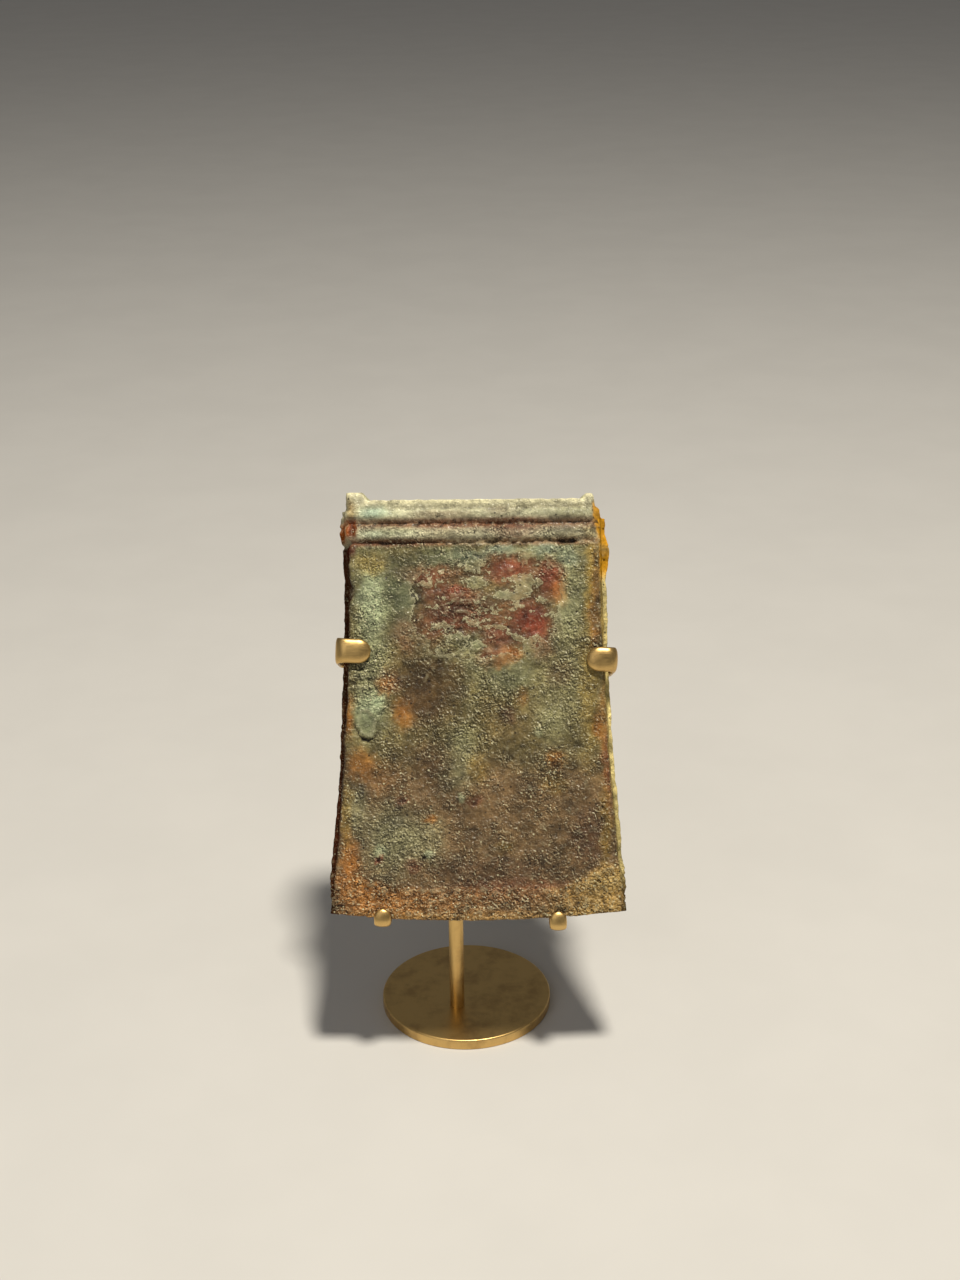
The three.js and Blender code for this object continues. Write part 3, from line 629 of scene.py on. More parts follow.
def edge_crust(skin):
    """Top and mask of the rough crust along the cutting edge, which rises towards both corners."""
    corners = 7.5 * smoothstep(24, 45, skin.x) + 5 * smoothstep(22, 42, -skin.x)
    top = 10 + 0.9 * skin.cloud(5, 3, shift=70) + corners
    return top, 1 - smoothstep(-2.2, 1.4, skin.z - top)


def crust_relief(skin, flaked, flake, band_top, band):
    """A broad swell, a crust that is thinner where it has flaked, grain, and the rough band."""
    depths = skin.form.relief
    standing = smoothstep(-0.12, 0.12, flake)
    rough = 0.55 + 0.45 * smoothstep(-0.4, 0.5, skin.cloud(12, 2, shift=500)) + 0.4 * band
    relief = depths["swell"] * (skin.cloud(14, shift=200) + 0.6 * skin.cloud(6, 2, shift=260))
    relief += depths["crust"] * (standing - 1) + 0.28 * flaked * skin.cloud(5, 3, 0.5, 9, (1, 1, 2.4))
    relief += depths["grain"] * skin.grain * rough + 0.26 * skin.coarse * (0.7 + 0.5 * band)
    relief += depths["edge_crust"] * band * skin.cloud(2.1, 3, 0.7, 15)
    in_middle = smoothstep(30, 18, np.abs(skin.x))
    return relief + 0.16 * swell_at(skin.z, band_top - 0.6, 1.5) * skin.front * in_middle


def pits_and_knobs(skin):
    """Small pits and beads in cells of noise, then the hollows and knobs: relief and two masks."""
    near, number = skin.form.noise.cells(skin.points, 2.4)
    pit = smoothstep(0.78, 0.84, number) * (1 - smoothstep(0.15, 0.7, near))
    bead = smoothstep(0.5, 0.56, number) * smoothstep(0.66, 0.6, number) * (1 - smoothstep(0.1, 0.7, near))
    relief = (0.18 * bead - skin.form.relief["pits"] * pit) * (1 - 0.5 * skin.neck)
    hollow = np.zeros(skin.x.shape)
    for across, up, radius, depth in HOLLOWS:
        away = np.hypot(skin.x - across, skin.z - up) / radius
        shape = (1 - smoothstep(0.45, 1.1, away + 0.15 * skin.grain)) * skin.front
        relief -= depth * shape
        hollow = np.maximum(hollow, shape * min(1, depth * 1.5))
    for across, up, radius, height in KNOBS:
        away = np.hypot(skin.x - across, skin.z - up) / radius
        relief += height * np.exp(-1.6 * away**2) * skin.front
    return relief, pit, hollow


def cracks(skin):
    """The raised flake with its crack, a hairline step below it and a split at the right: relief, masks."""
    x, z, front = skin.x, skin.z, skin.front
    distance = nearness(x + 0.4 * skin.ragged, z + 0.6 * skin.ragged, *RAISED_FLAKE) + 0.16 * skin.coarse
    scab = (1 - smoothstep(0.85, 1.0, distance)) * front
    lower_left = smoothstep(0.3, -0.6, (z - 60) / 5 + (x + 34) / 9)
    crack = np.exp(-(((distance - 1.04) / 0.08) ** 2)) * lower_left * front
    hairline = np.exp(-(((z - 56.9 + 0.02 * (x + 36)) / 0.35) ** 2)) * smoothstep(30, 32, -x) * front
    split = np.exp(-(((x - 23 - 0.6 * np.sin(z)) / 0.4) ** 2)) * swell_at(z, 41.8, 2.8) * front
    relief = 0.6 * scab - 0.7 * crack + 0.34 * hairline - 0.35 * split
    return relief + 0.25 * front * swell_at(z, 69, 9) * smoothstep(29, 33, -x), scab, crack, split


def crackled_ribs(skin):
    """Folds of crust in the ribbed places."""
    bent = (skin.points + 0.8 * skin.ragged[..., None]) * np.array([0.55, 1, 1.3]) + 410
    folds = 1 - np.abs(skin.form.noise.cloud(bent, 3.4, 2)) * 2.4
    strength = 0
    for height, bend, *place in RIBBED:
        strength += height * (1 - smoothstep(0.5, 1.3, nearness(skin.x + bend * skin.wander, skin.z, *place)))
    return strength * np.clip(folds, -0.5, 1) * skin.front


def ridge_relief(skin):
    """Wear on and between the ridges: relief and masks of the groove, the valley and its small holes.

    The groove is eaten deeper in two stretches, the valley is partly filled, the lower ridge is worn and
    frays at its foot towards the right, and dust lies in streaks along both.
    """
    form, x, z, front, coarse, wander = skin.form, skin.x, skin.z, skin.front, skin.coarse, skin.wander
    at_groove = swell_at(z, form.length - form.GROOVE[0] + 0.2, 1.6)
    eaten = 0.25 + 0.9 * swell_at(x, -26, 20) + 1.3 * swell_at(x, 28, 5.5)
    groove = at_groove * np.clip(eaten * (0.8 + 0.8 * coarse + 0.5 * skin.ragged), 0, 1) * (1 - skin.side)
    relief = -0.55 * at_groove * np.clip(eaten * (0.8 + 0.8 * coarse) - 0.1, 0, 1.3) * front
    valley = swell_at(z, form.length - form.VALLEY[0], form.VALLEY[1])
    pocked = valley * smoothstep(0.05, 0.25, skin.cloud(1.3, 2, shift=77)) * front
    lower_ridge = np.exp(-(((z - form.length + form.RIDGES[1][0]) / 1.8) ** 2))
    relief -= lower_ridge * front * (0.15 + 0.45 * smoothstep(8, 28, x + 3 * wander))
    streaks = skin.cloud(2.6, 3, 0.6, 800, (0.3, 1, 1.3))
    relief += skin.neck * (0.18 * streaks + 0.1 * coarse) + 0.2 * valley * front * (0.6 + 0.8 * coarse)
    frayed = (0.25 + 0.75 * smoothstep(-12, 6, x)) * (0.5 * coarse + 0.45 * skin.cloud(2.6, 3, 0.7, 333))
    relief += swell_at(z, 117.5, 2.8) * front * (frayed + 0.5 * swell_at(x, -1, 11))
    under_lip = swell_at(z + 0.3 * wander, form.length - 2.9, 0.6)
    return relief - 0.22 * under_lip * front, groove, valley, pocked


def broken_side(skin):
    """Mask of the broken right side near the mouth."""
    x, y, z = skin.x, skin.y, skin.z
    start = 38.1 - 2.0 * smoothstep(117, 125, z)
    scar = smoothstep(0, 1.1, x - start + 0.5 * skin.coarse) * smoothstep(104.5, 109, z + 1.5 * skin.wander)
    return scar * smoothstep(13, 10, y) * smoothstep(129.6, 128.4, z)


def graininess(skin, flaked, band, scar):
    """How grainy the material looks, 1.1 at most, and less on the ridges, the broken side and the sides."""
    grainy = 0.45 + 0.6 * skin.cloud(6, 3, 0.6, 500)
    for *place, strength in ROUGHNESS:
        away = nearness(skin.x + 2 * skin.wander, skin.z + 2 * skin.ragged, *place)
        grainy = grainy + strength * (1 - smoothstep(0.3, 1.4, away)) * skin.front
    grainy = np.clip(grainy + 0.4 * band - 0.3 * flaked, 0.12, 1.1)
    on_ridges = skin.neck * smoothstep(120, 124, skin.z)
    return grainy * (1 - 0.6 * on_ridges) * (1 - 0.8 * scar) * (1 - 0.5 * skin.side)


def relief_and_masks(skin):
    """Relief in millimetres along the outward direction, and masks that steer the colours."""
    form, x, y, z = skin.form, skin.x, skin.y, skin.z
    flaked, flake = standing_crust(skin)
    band_top, band = edge_crust(skin)
    pitted, pit, hollow = pits_and_knobs(skin)
    cracked, scab, crack, split = cracks(skin)
    ridged, groove, valley, pocked = ridge_relief(skin)
    relief = crust_relief(skin, flaked, flake, band_top, band)
    relief = relief + pitted + cracked + crackled_ribs(skin) + ridged

    # The left end of the ridges is worn to a flat, and their side filled between them
    worn = smoothstep(36.3, 37.4, -x + 0.5 * skin.ragged) * swell_at(z, 121.3, 5.2) * ~skin.is_back
    relief = relief * (1 - 0.6 * worn) - worn * (1 - skin.side) * (0.5 + 0.8 * form.ridge_rise(z))
    relief = relief + 0.9 * smoothstep(36, 38, -x) * skin.side * valley

    scar = broken_side(skin)
    relief = relief * (1 - 0.6 * scar) + 0.2 * scar * skin.coarse
    deep_groove = groove * (0.45 + 0.5 * smoothstep(18, 22, x))
    return relief, {
        "flake": flake, "flaked": flaked, "edge_band": band, "scar": scar, "scab": scab,
        "valley": valley, "groove": groove, "rough": graininess(skin, flaked, band, scar),
        # The right seam, painted pale: pale crust with a painted highlight where it catches the light
        "seam": smoothstep(2.6, 1.6, np.abs(y)) * smoothstep(32, 35, x) * smoothstep(6, 26, z),
        # Where the recesses lie; the material darkens them with painted shade
        "recess": np.clip(0.7 * pocked + deep_groove + hollow + crack + 0.8 * split + 0.5 * pit, 0, 1),
    }


def face_colours(skin, palette, masks):
    """From olive above to mauve brown below, patches of noise on the back and sides, washes in front."""
    x, z, front = skin.x, skin.z, skin.front
    lower = smoothstep(57, 40, z + 5 * skin.cloud(16, 3, shift=300))
    colours = tint(np.zeros(x.shape + (3,)) + palette["olive"], (lower, palette["mauve"]))
    for key, size, start in BACK_PATCHES:
        spread = smoothstep(start, start + 0.45, skin.cloud(size, shift=37 * size))
        colours = tint(colours, (0.75 * spread * (1 - front), palette[key]))
    moved_x, moved_z = x + 1.5 * skin.wander + 0.5 * skin.ragged, z + 1.5 * skin.ragged
    colours = wash(colours, WASHES, moved_x, moved_z, front * (1 - skin.neck), palette)
    standing = smoothstep(-0.25, 0.3, masks["flake"])
    return tint(colours, (0.28 * standing * masks["flaked"], palette["green"]))


def edge_and_side_colours(skin, palette, masks, colours):
    """Rust and yellow crust along the edge, dark maroon sides with painted shade on the left one, painted
    light on the right side, and pale crust with a painted highlight on the right seam.
    """
    x, y, z, side, band = skin.x, skin.y, skin.z, skin.side, masks["edge_band"]
    left, right = 1 - smoothstep(-42, 20, x + 6 * skin.wander), smoothstep(0, 1, x)
    # Painted light on the front of the right side, between the face and the seam
    lit = side * right * smoothstep(0, -2, y) * smoothstep(6, 26, z)
    return tint(
        colours,
        (0.62 * band, palette["rust"]),
        (0.6 * band * smoothstep(15, 36, x + 5 * skin.ragged), palette["tan"]),
        (0.4 * band * left, palette["orange"]),
        (0.3 * band * smoothstep(4, 0, z), palette["tan"]),
        # Painted shade: the left side much darker than the right one, as if in shadow
        (0.9 * side * (1 - 0.6 * right), palette["side"]),
        (0.7 * side * right, palette["brown"]),
        # Painted light on the right side, and the seam's pale crust with a painted highlight
        (0.8 * lit, 0.8 * palette["tan"] + 0.3 * palette["green"]),
        (0.95 * masks["seam"], 1.2 * palette["tan"] + 0.6 * palette["mint"]),
    )


def ridge_colours(skin, palette, masks, colours):
    """Dusty ridges with washes, painted shade low between them, a red brown valley and groove, an orange left
    end and a pale rim.
    """
    x, y, z, front, ragged = skin.x, skin.y, skin.z, skin.front, skin.ragged
    neck, upright, groove = skin.neck, 1 - skin.side, masks["groove"]
    moved_x = x + 1.5 * skin.wander + 0.5 * ragged
    colours = tint(colours, (0.85 * neck * (1 - 0.5 * skin.side), palette["neck"]))
    colours = wash(colours, RIDGE_WASHES, moved_x, z + 0.4 * ragged, neck * front, palette)
    redder = 0.7 + 0.25 * smoothstep(-24, -10, x) * smoothstep(26, 14, x)
    below = neck * (1 - smoothstep(123.0, 124.5, z) * neck)
    shade_between_ridges = 1 - np.clip(skin.form.ridge_rise(z) / 1.3, 0, 1)
    left_groove = swell_at(z + 0.3 * ragged, 116.9, 1.7) * smoothstep(-6, -12, x) * front
    end = smoothstep(35.9, 37.0, -x) * swell_at(z, 121.2, 4.4)
    rim = smoothstep(128.5, 129.3, z - skin.form.rim_rise(x, np.abs(y), skin.is_back) + 0.4 * ragged)
    return tint(
        colours,
        (masks["valley"] * redder * front, palette["maroon"]),
        (0.4 * below * swell_at(moved_x, 12, 12) * front, palette["maroon"]),
        # Painted shade low between the ridges, in a red-brown rust tone
        (0.55 * shade_between_ridges * neck * upright, 0.5 * palette["maroon"] + 0.5 * palette["rust"]),
        (0.6 * swell_at(z + 0.6 * ragged, 116.6, 2.0) * front, 0.7 * palette["rust"]),
        (0.8 * groove, palette["plum"] * np.array([2.1, 1.3, 0.6])),
        (0.6 * left_groove, 0.6 * palette["maroon"]),
        (0.7 * groove * swell_at(x, -9, 6), palette["orange"]),
        (np.clip(1.6 * end, 0, 0.97), palette["orange"] * np.array([0.85, 0.42, 0.1])),
        (0.8 * smoothstep(36.4, 37.6, -x) * swell_at(z, 114.6, 3.2), 0.5 * palette["crimson"]),
        (0.6 * rim * upright * front, 1.1 * palette["speck"]),
    )


def patina(skin, palette, masks):
    """The broad colour of every point: tints with soft, wandering outlines laid over one another.

    In the end the hues and the lightness are drawn apart from their middle, except on the ridges, the broken
    side and the right seam, and noise mottles it all.
    """
    neck = skin.neck
    colours = face_colours(skin, palette, masks)
    colours = edge_and_side_colours(skin, palette, masks, colours)
    colours = ridge_colours(skin, palette, masks, colours)
    at_groove = swell_at(skin.z + 1.5 * skin.ragged, 115.5, 3)
    colours = tint(
        colours,
        (0.95 * masks["scar"], palette["scar"]),
        (0.5 * masks["scar"] * at_groove, palette["green"]),
        (0.75 * masks["scab"], 0.55 * palette["green"] + 0.45 * palette["teal"]),
    )

    middle = 0.5 * (palette["olive"] + palette["mauve"])
    lightness = np.sqrt(np.sum(colours**2, axis=-1, keepdims=True) / np.sum(middle**2))
    hue = colours / (middle * lightness)
    drawn = (1 - np.clip(neck + masks["scar"] + masks["seam"], 0, 1))[..., None]
    colours = colours * hue ** (0.38 * drawn) * lightness ** (0.5 * drawn)

    streaks = skin.cloud(2.4, 4, 0.7, 620, (0.3, 1, 1.2))
    shade = 1.03 + 0.62 * (skin.cloud(3.2, 4, 0.7, 620) * (1 - 0.6 * neck) + 0.45 * neck * streaks)
    shade = shade + 0.46 * skin.cloud(8, 2, shift=640) * (1 - 0.5 * neck)
    return np.clip(colours * shade[..., None], 0.003, 0.92)


def box_blur(values, reach):
    """The mean over a square of neighbouring grid points, wrapping round the ring."""
    padded = np.pad(values, ((reach, reach), (0, 0)), mode="edge")
    rows = sum(padded[i : i + values.shape[0]] for i in range(2 * reach + 1)) / (2 * reach + 1)
    return sum(np.roll(rows, i, axis=1) for i in range(-reach, reach + 1)) / (2 * reach + 1)


def axe_head_surface(form, palette):
    """Closed rings from the rounded underside of the edge, up the outside, over the rim, down the socket.

    Returns the points in millimetres, a row of the grid for each ring, and the colours and masks on it.
    """
    rows = np.concatenate([
        np.linspace(0, form.bevel_length, form.BEVEL_ROWS)[:-1],
        np.linspace(form.bevel_length, form.neck_height - 1, form.BODY_ROWS)[:-1],
        np.linspace(form.neck_height - 1, form.length, form.RIDGE_ROWS),
    ])
    x, y, is_back = form.ring(form.outside_half(rows, False), form.outside_half(rows, True))
    height = rows[:, None] + 0 * x
    z = form.raise_rows(height, x, y, is_back)
    along_x, along_y = (np.roll(v, -1, axis=1) - np.roll(v, 1, axis=1) for v in (x, y))
    outward = np.stack([along_y, -along_x], axis=-1)
    outward = outward / np.maximum(np.linalg.norm(outward, axis=-1, keepdims=True), 1e-9)
    skin = Skin(form, x, y, z, is_back, outward)
    relief, masks = relief_and_masks(skin)
    colours = patina(skin, palette, masks)
    relief = relief * (0.35 + 0.65 * smoothstep(0, 1.2, height))
    # Relief above or below its neighbours' mean, for painted shade in hollows and painted highlights on bumps
    cavity = np.clip((relief - box_blur(relief, 3)) / 0.3, -1, 1)
    x, y = x + outward[..., 0] * relief, y + outward[..., 1] * relief
    back_limit = 0.25
    y = np.where(is_back, np.maximum(y, back_limit), y)
    outside = np.stack([x, y, z], axis=-1)

    under = np.repeat(outside[:1], 2, axis=0)
    angle = np.radians((35, 65))[:, None]
    under[..., 1] *= np.sin(angle)
    under[..., 2] -= 0.3 * np.cos(angle)

    share = np.linspace(0, 1, form.SOCKET_ROWS)
    inner_x, inner_y, _ = form.ring(form.inside_half(share), form.inside_half(share))
    top = form.raise_rows(form.length + 0 * inner_x[:1], inner_x[:1], inner_y[:1], is_back[:1])
    floor = form.length - form.socket_depth
    inner = np.stack([inner_x, inner_y, top + (floor - top) * share[:, None]], axis=-1)
    fading = (smoothstep(0, 0.1, share) * (1 - smoothstep(0.93, 1, share)))[:, None]
    inner[..., 1] += 0.16 * form.noise.cloud(inner, 2.5, 3) * fading * np.sign(inner[..., 1])

    across = np.linspace(0, 1, form.RIM_ROWS + 2)[1:-1, None, None]
    rim = outside[-1:] * (1 - across) + inner[:1] * across
    rim[..., 2] += 0.12 + 0.22 * form.noise.cloud(rim, 1.6, 3)
    grid = np.concatenate([under, outside, rim, inner], axis=0)

    # The rim keeps its dust, and the socket darkens downwards in painted shade
    lining = tint(
        np.zeros(inner.shape) + palette["brown"],
        (smoothstep(0.05, 0.5, form.noise.cloud(inner, 8, 4)), palette["maroon"]),
        (0.75 * smoothstep(0, 0.6, share)[:, None] + 0 * inner_x, palette["soot"]),
    )
    dust = tint(colours[-1:], (0.35 + 0 * inner_x[:1], palette["mint"]))
    dust = np.repeat(dust, form.RIM_ROWS, axis=0)
    colours = np.concatenate([colours[:1], colours[:1], colours, dust, lining], axis=0)

    # Each mask with its value on the rim and in the socket
    on_grid = {}
    for key, values, plain in (
        ("flake", masks["flake"] * 0.5 + 0.5, 1.0),
        ("flaked", masks["flaked"], 0.0),
        ("recess", masks["recess"], 0.0),
        ("cavity", cavity * 0.5 + 0.5, 0.5),
        ("side", skin.side, 0.0),
        ("rough", masks["rough"], 0.25),
    ):
        rest = np.full((form.RIM_ROWS + form.SOCKET_ROWS, x.shape[1]), plain)
        on_grid[key] = np.concatenate([values[:1], values[:1], values, rest], axis=0)
    return grid, colours, on_grid


def smooth_mesh(name, points, faces):
    """A mesh of smooth faces."""
    mesh = bpy.data.meshes.new(name)
    mesh.from_pydata(points, [], faces)
    mesh.polygons.foreach_set("use_smooth", np.ones(len(mesh.polygons), bool))
    mesh.update()
    return mesh


def ring_quads(rings, sides):
    """Quads between neighbouring closed rings of points."""
    start = (np.arange(rings - 1) * sides)[:, None]
    here = np.arange(sides)[None, :]
    ahead = (here + 1) % sides
    quads = np.stack([start + here, start + ahead, start + sides + ahead, start + sides + here], axis=-1)
    return quads.reshape(-1, 4).tolist()


def end_fans(rings, sides):
    """Triangles from the first and the last ring to the two points that follow all rings."""
    j = np.arange(sides)
    ahead, last = (j + 1) % sides, (rings - 1) * sides
    first_fan = np.stack([ahead, j, 0 * j + rings * sides], axis=-1)
    last_fan = np.stack([last + j, last + ahead, 0 * j + rings * sides + 1], axis=-1)
    return first_fan.tolist() + last_fan.tolist()


def lofted_mesh(name, grid):
    """Quads between neighbouring rings, and strips from front to back over the first and last ring."""
    rings, count, _ = grid.shape
    k = np.arange(count // 2)
    strip = np.stack([k, (count - k) % count, count - k - 1, k + 1], axis=-1)
    faces = ring_quads(rings, count)
    for base, quads in ((0, strip), ((rings - 1) * count, strip[:, ::-1])):
        faces += [[base + v for v in dict.fromkeys(quad)] for quad in quads.tolist()]
    return smooth_mesh(name, grid.reshape(-1, 3), faces)


def to_frame(form, points):
    """Leans points of the upright axe frame back and sets them on their seat, in metres."""
    sine, cosine = np.sin(form.lean), np.cos(form.lean)
    x, y, z = points[..., 0], points[..., 1], points[..., 2]
    leaning = np.stack([x, y * cosine + z * sine, z * cosine - y * sine], axis=-1)
    return leaning * MM + np.array(form.seat)


# Bent and turned metal


# Steps along a strip and along a rod in millimetres, and points round each section
STRIP_STEP, ROD_STEP = 0.35, 0.8
STRIP_SIDES, ROD_SIDES, FOOT_SIDES = 48, 28, 96


def rounded_line(corners, leg, steps=8):
    """Straight legs with each corner replaced by a parabola between points a leg away from it."""
    parts = [corners[:1]]
    t = np.linspace(0, 1, steps)[:, None]
    for before, at, after in zip(corners[:-2], corners[1:-1], corners[2:]):
        enter = at + (before - at) * leg / np.linalg.norm(before - at)
        leave = at + (after - at) * leg / np.linalg.norm(after - at)
        parts.append((1 - t) ** 2 * enter + 2 * t * (1 - t) * at + t**2 * leave)
    parts.append(corners[-1:])
    return np.concatenate(parts)


def resample(line, spacing):
    """The same line with points at even distances along it."""
    gone = np.concatenate([[0], np.cumsum(np.linalg.norm(np.diff(line, axis=0), axis=1))])
    places = np.linspace(0, gone[-1], max(4, int(round(gone[-1] / spacing)) + 1))
    return np.stack([np.interp(places, gone, line[:, i]) for i in range(line.shape[1])], axis=1), places


def closed_sweep(name, rings):
    """Quads between the rings of a swept section, with both ends closed by a fan to a middle point."""
    count, sides, _ = rings.shape
    points = np.concatenate([rings.reshape(-1, 3), rings[0].mean(0)[None], rings[-1].mean(0)[None]])
    return smooth_mesh(name, points, ring_quads(count, sides) + end_fans(count, sides))


def full_turn(sides):
    """Even angles of a full turn."""
    return np.linspace(0, 2 * np.pi, sides, endpoint=False)


def strip_rings(line, across, width, thickness, round_start, round_end, pillow):
    """A flat strip along a line, with a rounded oblong section that closes in a half circle at a round end.

    The section is a superellipse, half the width by half the thickness. Near its round ends the outer face
    swells into a pillow, highest in the middle of the width.
    """
    path, gone = resample(line, STRIP_STEP)
    along = np.gradient(path, axis=0)
    along /= np.linalg.norm(along, axis=1, keepdims=True)
    normal = np.cross(along, across)
    normal /= np.linalg.norm(normal, axis=1, keepdims=True)
    half = width / 2
    reach, swollen = np.ones(len(path)), np.zeros(len(path))
    for is_round, left in ((round_start, gone), (round_end, gone[-1] - gone)):
        if is_round:
            circle = np.sqrt(np.clip(1 - (1 - np.clip(left / half, 0, 1)) ** 2, 0.0004, 1))
            reach = np.minimum(reach, circle)
            swollen = np.maximum(swollen, 1 - smoothstep(0.9 * width, 1.5 * width, left))
    cosine, sine = np.cos(full_turn(STRIP_SIDES)), np.sin(full_turn(STRIP_SIDES))
    power = (0.45 + 0.55 * swollen)[:, None]
    u = np.sign(cosine) * np.abs(cosine) ** power
    v = np.sign(sine) * np.abs(sine) ** 0.8
    thin = thickness / 2 * np.clip(reach, 0.3, 1) ** 0.7
    outer = np.where(v < 0, 1 + (2 * pillow / thickness) * (swollen * reach)[:, None], 1)
    lift = v * thin[:, None] * outer
    side = u * half * (reach * (1 - 0.07 * swollen))[:, None]
    return path[:, None, :] + side[..., None] * np.asarray(across) + lift[..., None] * normal[:, None, :]


def rod_rings(line, radius, dome_start=True):
    """A round bar along a line. Its end, and a domed start, narrow in a quarter ellipse to a small flat."""
    path, gone = resample(line, ROD_STEP)
    extra = radius * np.array([0.02, 0.1, 0.25, 0.45, 0.7])
    places = np.unique(np.concatenate([gone, extra, gone[-1] - extra]))
    path = np.stack([np.interp(places, gone, path[:, i]) for i in range(3)], axis=1)
    along = np.gradient(path, axis=0)
    along /= np.linalg.norm(along, axis=1, keepdims=True)
    runs_across = abs(along[0, 0]) > 0.5
    beside = np.cross(along, np.array([0.0, 1.0, 0.2] if runs_across else [1.0, 0.0, 0.0]))
    beside /= np.linalg.norm(beside, axis=1, keepdims=True)
    beyond = np.cross(along, beside)
    size = np.full(len(path), radius)
    for domed, left in ((dome_start, places), (True, places[-1] - places)):
        if domed:
            slack = 1 - np.clip(left / (0.7 * radius), 0, 1)
            size = np.minimum(size, radius * (0.3 + 0.7 * np.sqrt(np.clip(1 - slack**2, 0, 1))))
    angle = full_turn(ROD_SIDES)[:, None]
    circle = np.cos(angle) * beside[:, None, :] + np.sin(angle) * beyond[:, None, :]
    return path[:, None, :] + size[:, None, None] * circle


def lathed_mesh(name, profile):
    """A profile of radius and height turned about the vertical axis, with a single point at each pole."""
    angle = full_turn(FOOT_SIDES)
    radius, height = profile[1:-1, 0, None], profile[1:-1, 1, None]
    rings = np.stack([radius * np.cos(angle), radius * np.sin(angle), height + 0 * angle], axis=-1)
    poles = np.array([[0, 0, profile[0, 1]], [0, 0, profile[-1, 1]]])
    points = np.concatenate([rings.reshape(-1, 3), poles])
    return smooth_mesh(name, points, ring_quads(len(rings), FOOT_SIDES) + end_fans(len(rings), FOOT_SIDES))


# Materials


class Nodes:
    """Short calls for the few kinds of node that the materials use."""

    def __init__(self, name):
        self.material = bpy.data.materials.new(name)
        self.material.use_nodes = True
        self.tree = self.material.node_tree
        self.shader = self.tree.nodes["Principled BSDF"]
        self.place = self.tree.nodes.new("ShaderNodeTexCoord").outputs["Object"]

    def link(self, source, socket):
        if isinstance(source, bpy.types.NodeSocket):
            self.tree.links.new(source, socket)
        elif socket.type == "RGBA" and len(source) == 3:
            socket.default_value = (*source, 1)
        else:
            socket.default_value = source

    def add(self, kind, inputs=(), **settings):
        """A new node with its settings, and its inputs set or linked."""
        node = self.tree.nodes.new("ShaderNode" + kind)
        for key, value in settings.items():
            setattr(node, key, value)
        for key, value in dict(inputs).items():
            self.link(value, node.inputs[key])
        return node

    def painted(self, name, output="Fac"):
        return self.add("Attribute", attribute_name=name).outputs[output]

    def shade(self, colour, amount):
        return self.add("VectorMath", {0: colour, "Scale": amount}, operation="SCALE").outputs[0]

    def moved_place(self, shift=(0, 0, 0), turn=(0, 0, 0), stretch=(1, 1, 1)):
        """The place less a shift, turned back, and divided by a stretch along each axis."""
        inputs = {"Vector": self.place, "Location": shift, "Rotation": turn, "Scale": stretch}
        return self.add("Mapping", inputs, vector_type="TEXTURE").outputs["Vector"]

    def cloud(self, size_mm, detail=3.0, roughness=0.6, place=None, warp=0.0):
        inputs = {"Scale": 1 / (size_mm * MM), "Detail": detail, "Roughness": roughness, "Distortion": warp}
        return self.add("TexNoise", {"Vector": place or self.place, **inputs}).outputs["Fac"]

    def embossed(self, size_mm, detail, roughness, aside, turn, stretch, warp):
        """A noise, and how far it falls off a third of its size up the leaning face and aside.

        The fall is positive on the upper edges of small lumps and negative under them; the material uses it
        as painted light on those edges and painted shade under them, as if lit from above.
        """
        step = -0.33 * size_mm * MM
        here = self.cloud(size_mm, detail, roughness, self.moved_place((0, 0, 0), turn, stretch), warp)
        shift = (aside * step, 0.48 * step, 0.88 * step)
        above = self.cloud(size_mm, detail, roughness, self.moved_place(shift, turn, stretch), warp)
        return here, self.math("SUBTRACT", here, above)

    def spots(self, size_mm, reach, share, shift=(0, 0, 0)):
        """Round dots of reach times the cell size, in a share of the cells."""
        cells = self.add("TexVoronoi", {"Vector": self.moved_place(shift), "Scale": 1 / (size_mm * MM)})
        parts = self.add("SeparateColor", {"Color": cells.outputs["Color"]})
        chosen = self.math("LESS_THAN", parts.outputs["Red"], share)
        return self.times(chosen, self.span(cells.outputs["Distance"], reach, 0.4 * reach))

    def math(self, operation, a, b=0.5, c=0.5):
        return self.add("Math", {0: a, 1: b, 2: c}, operation=operation).outputs[0]

    def times(self, a, b):
        return self.math("MULTIPLY", a, b)

    def span(self, value, low, high, to_low=0.0, to_high=1.0):
        inputs = {"Value": value, "From Min": low, "From Max": high, "To Min": to_low, "To Max": to_high}
        return self.add("MapRange", inputs, interpolation_type="SMOOTHSTEP").outputs["Result"]

    def mix(self, amount, a, b):
        return self.add("Mix", {"Factor": amount, "A": a, "B": b}, data_type="RGBA").outputs["Result"]

    def bump(self, height, distance_mm, strength=1.0, below=None):
        inputs = {"Height": height, "Distance": distance_mm * MM, "Strength": strength}
        if below is not None:
            inputs["Normal"] = below
        return self.add("Bump", inputs).outputs["Normal"]


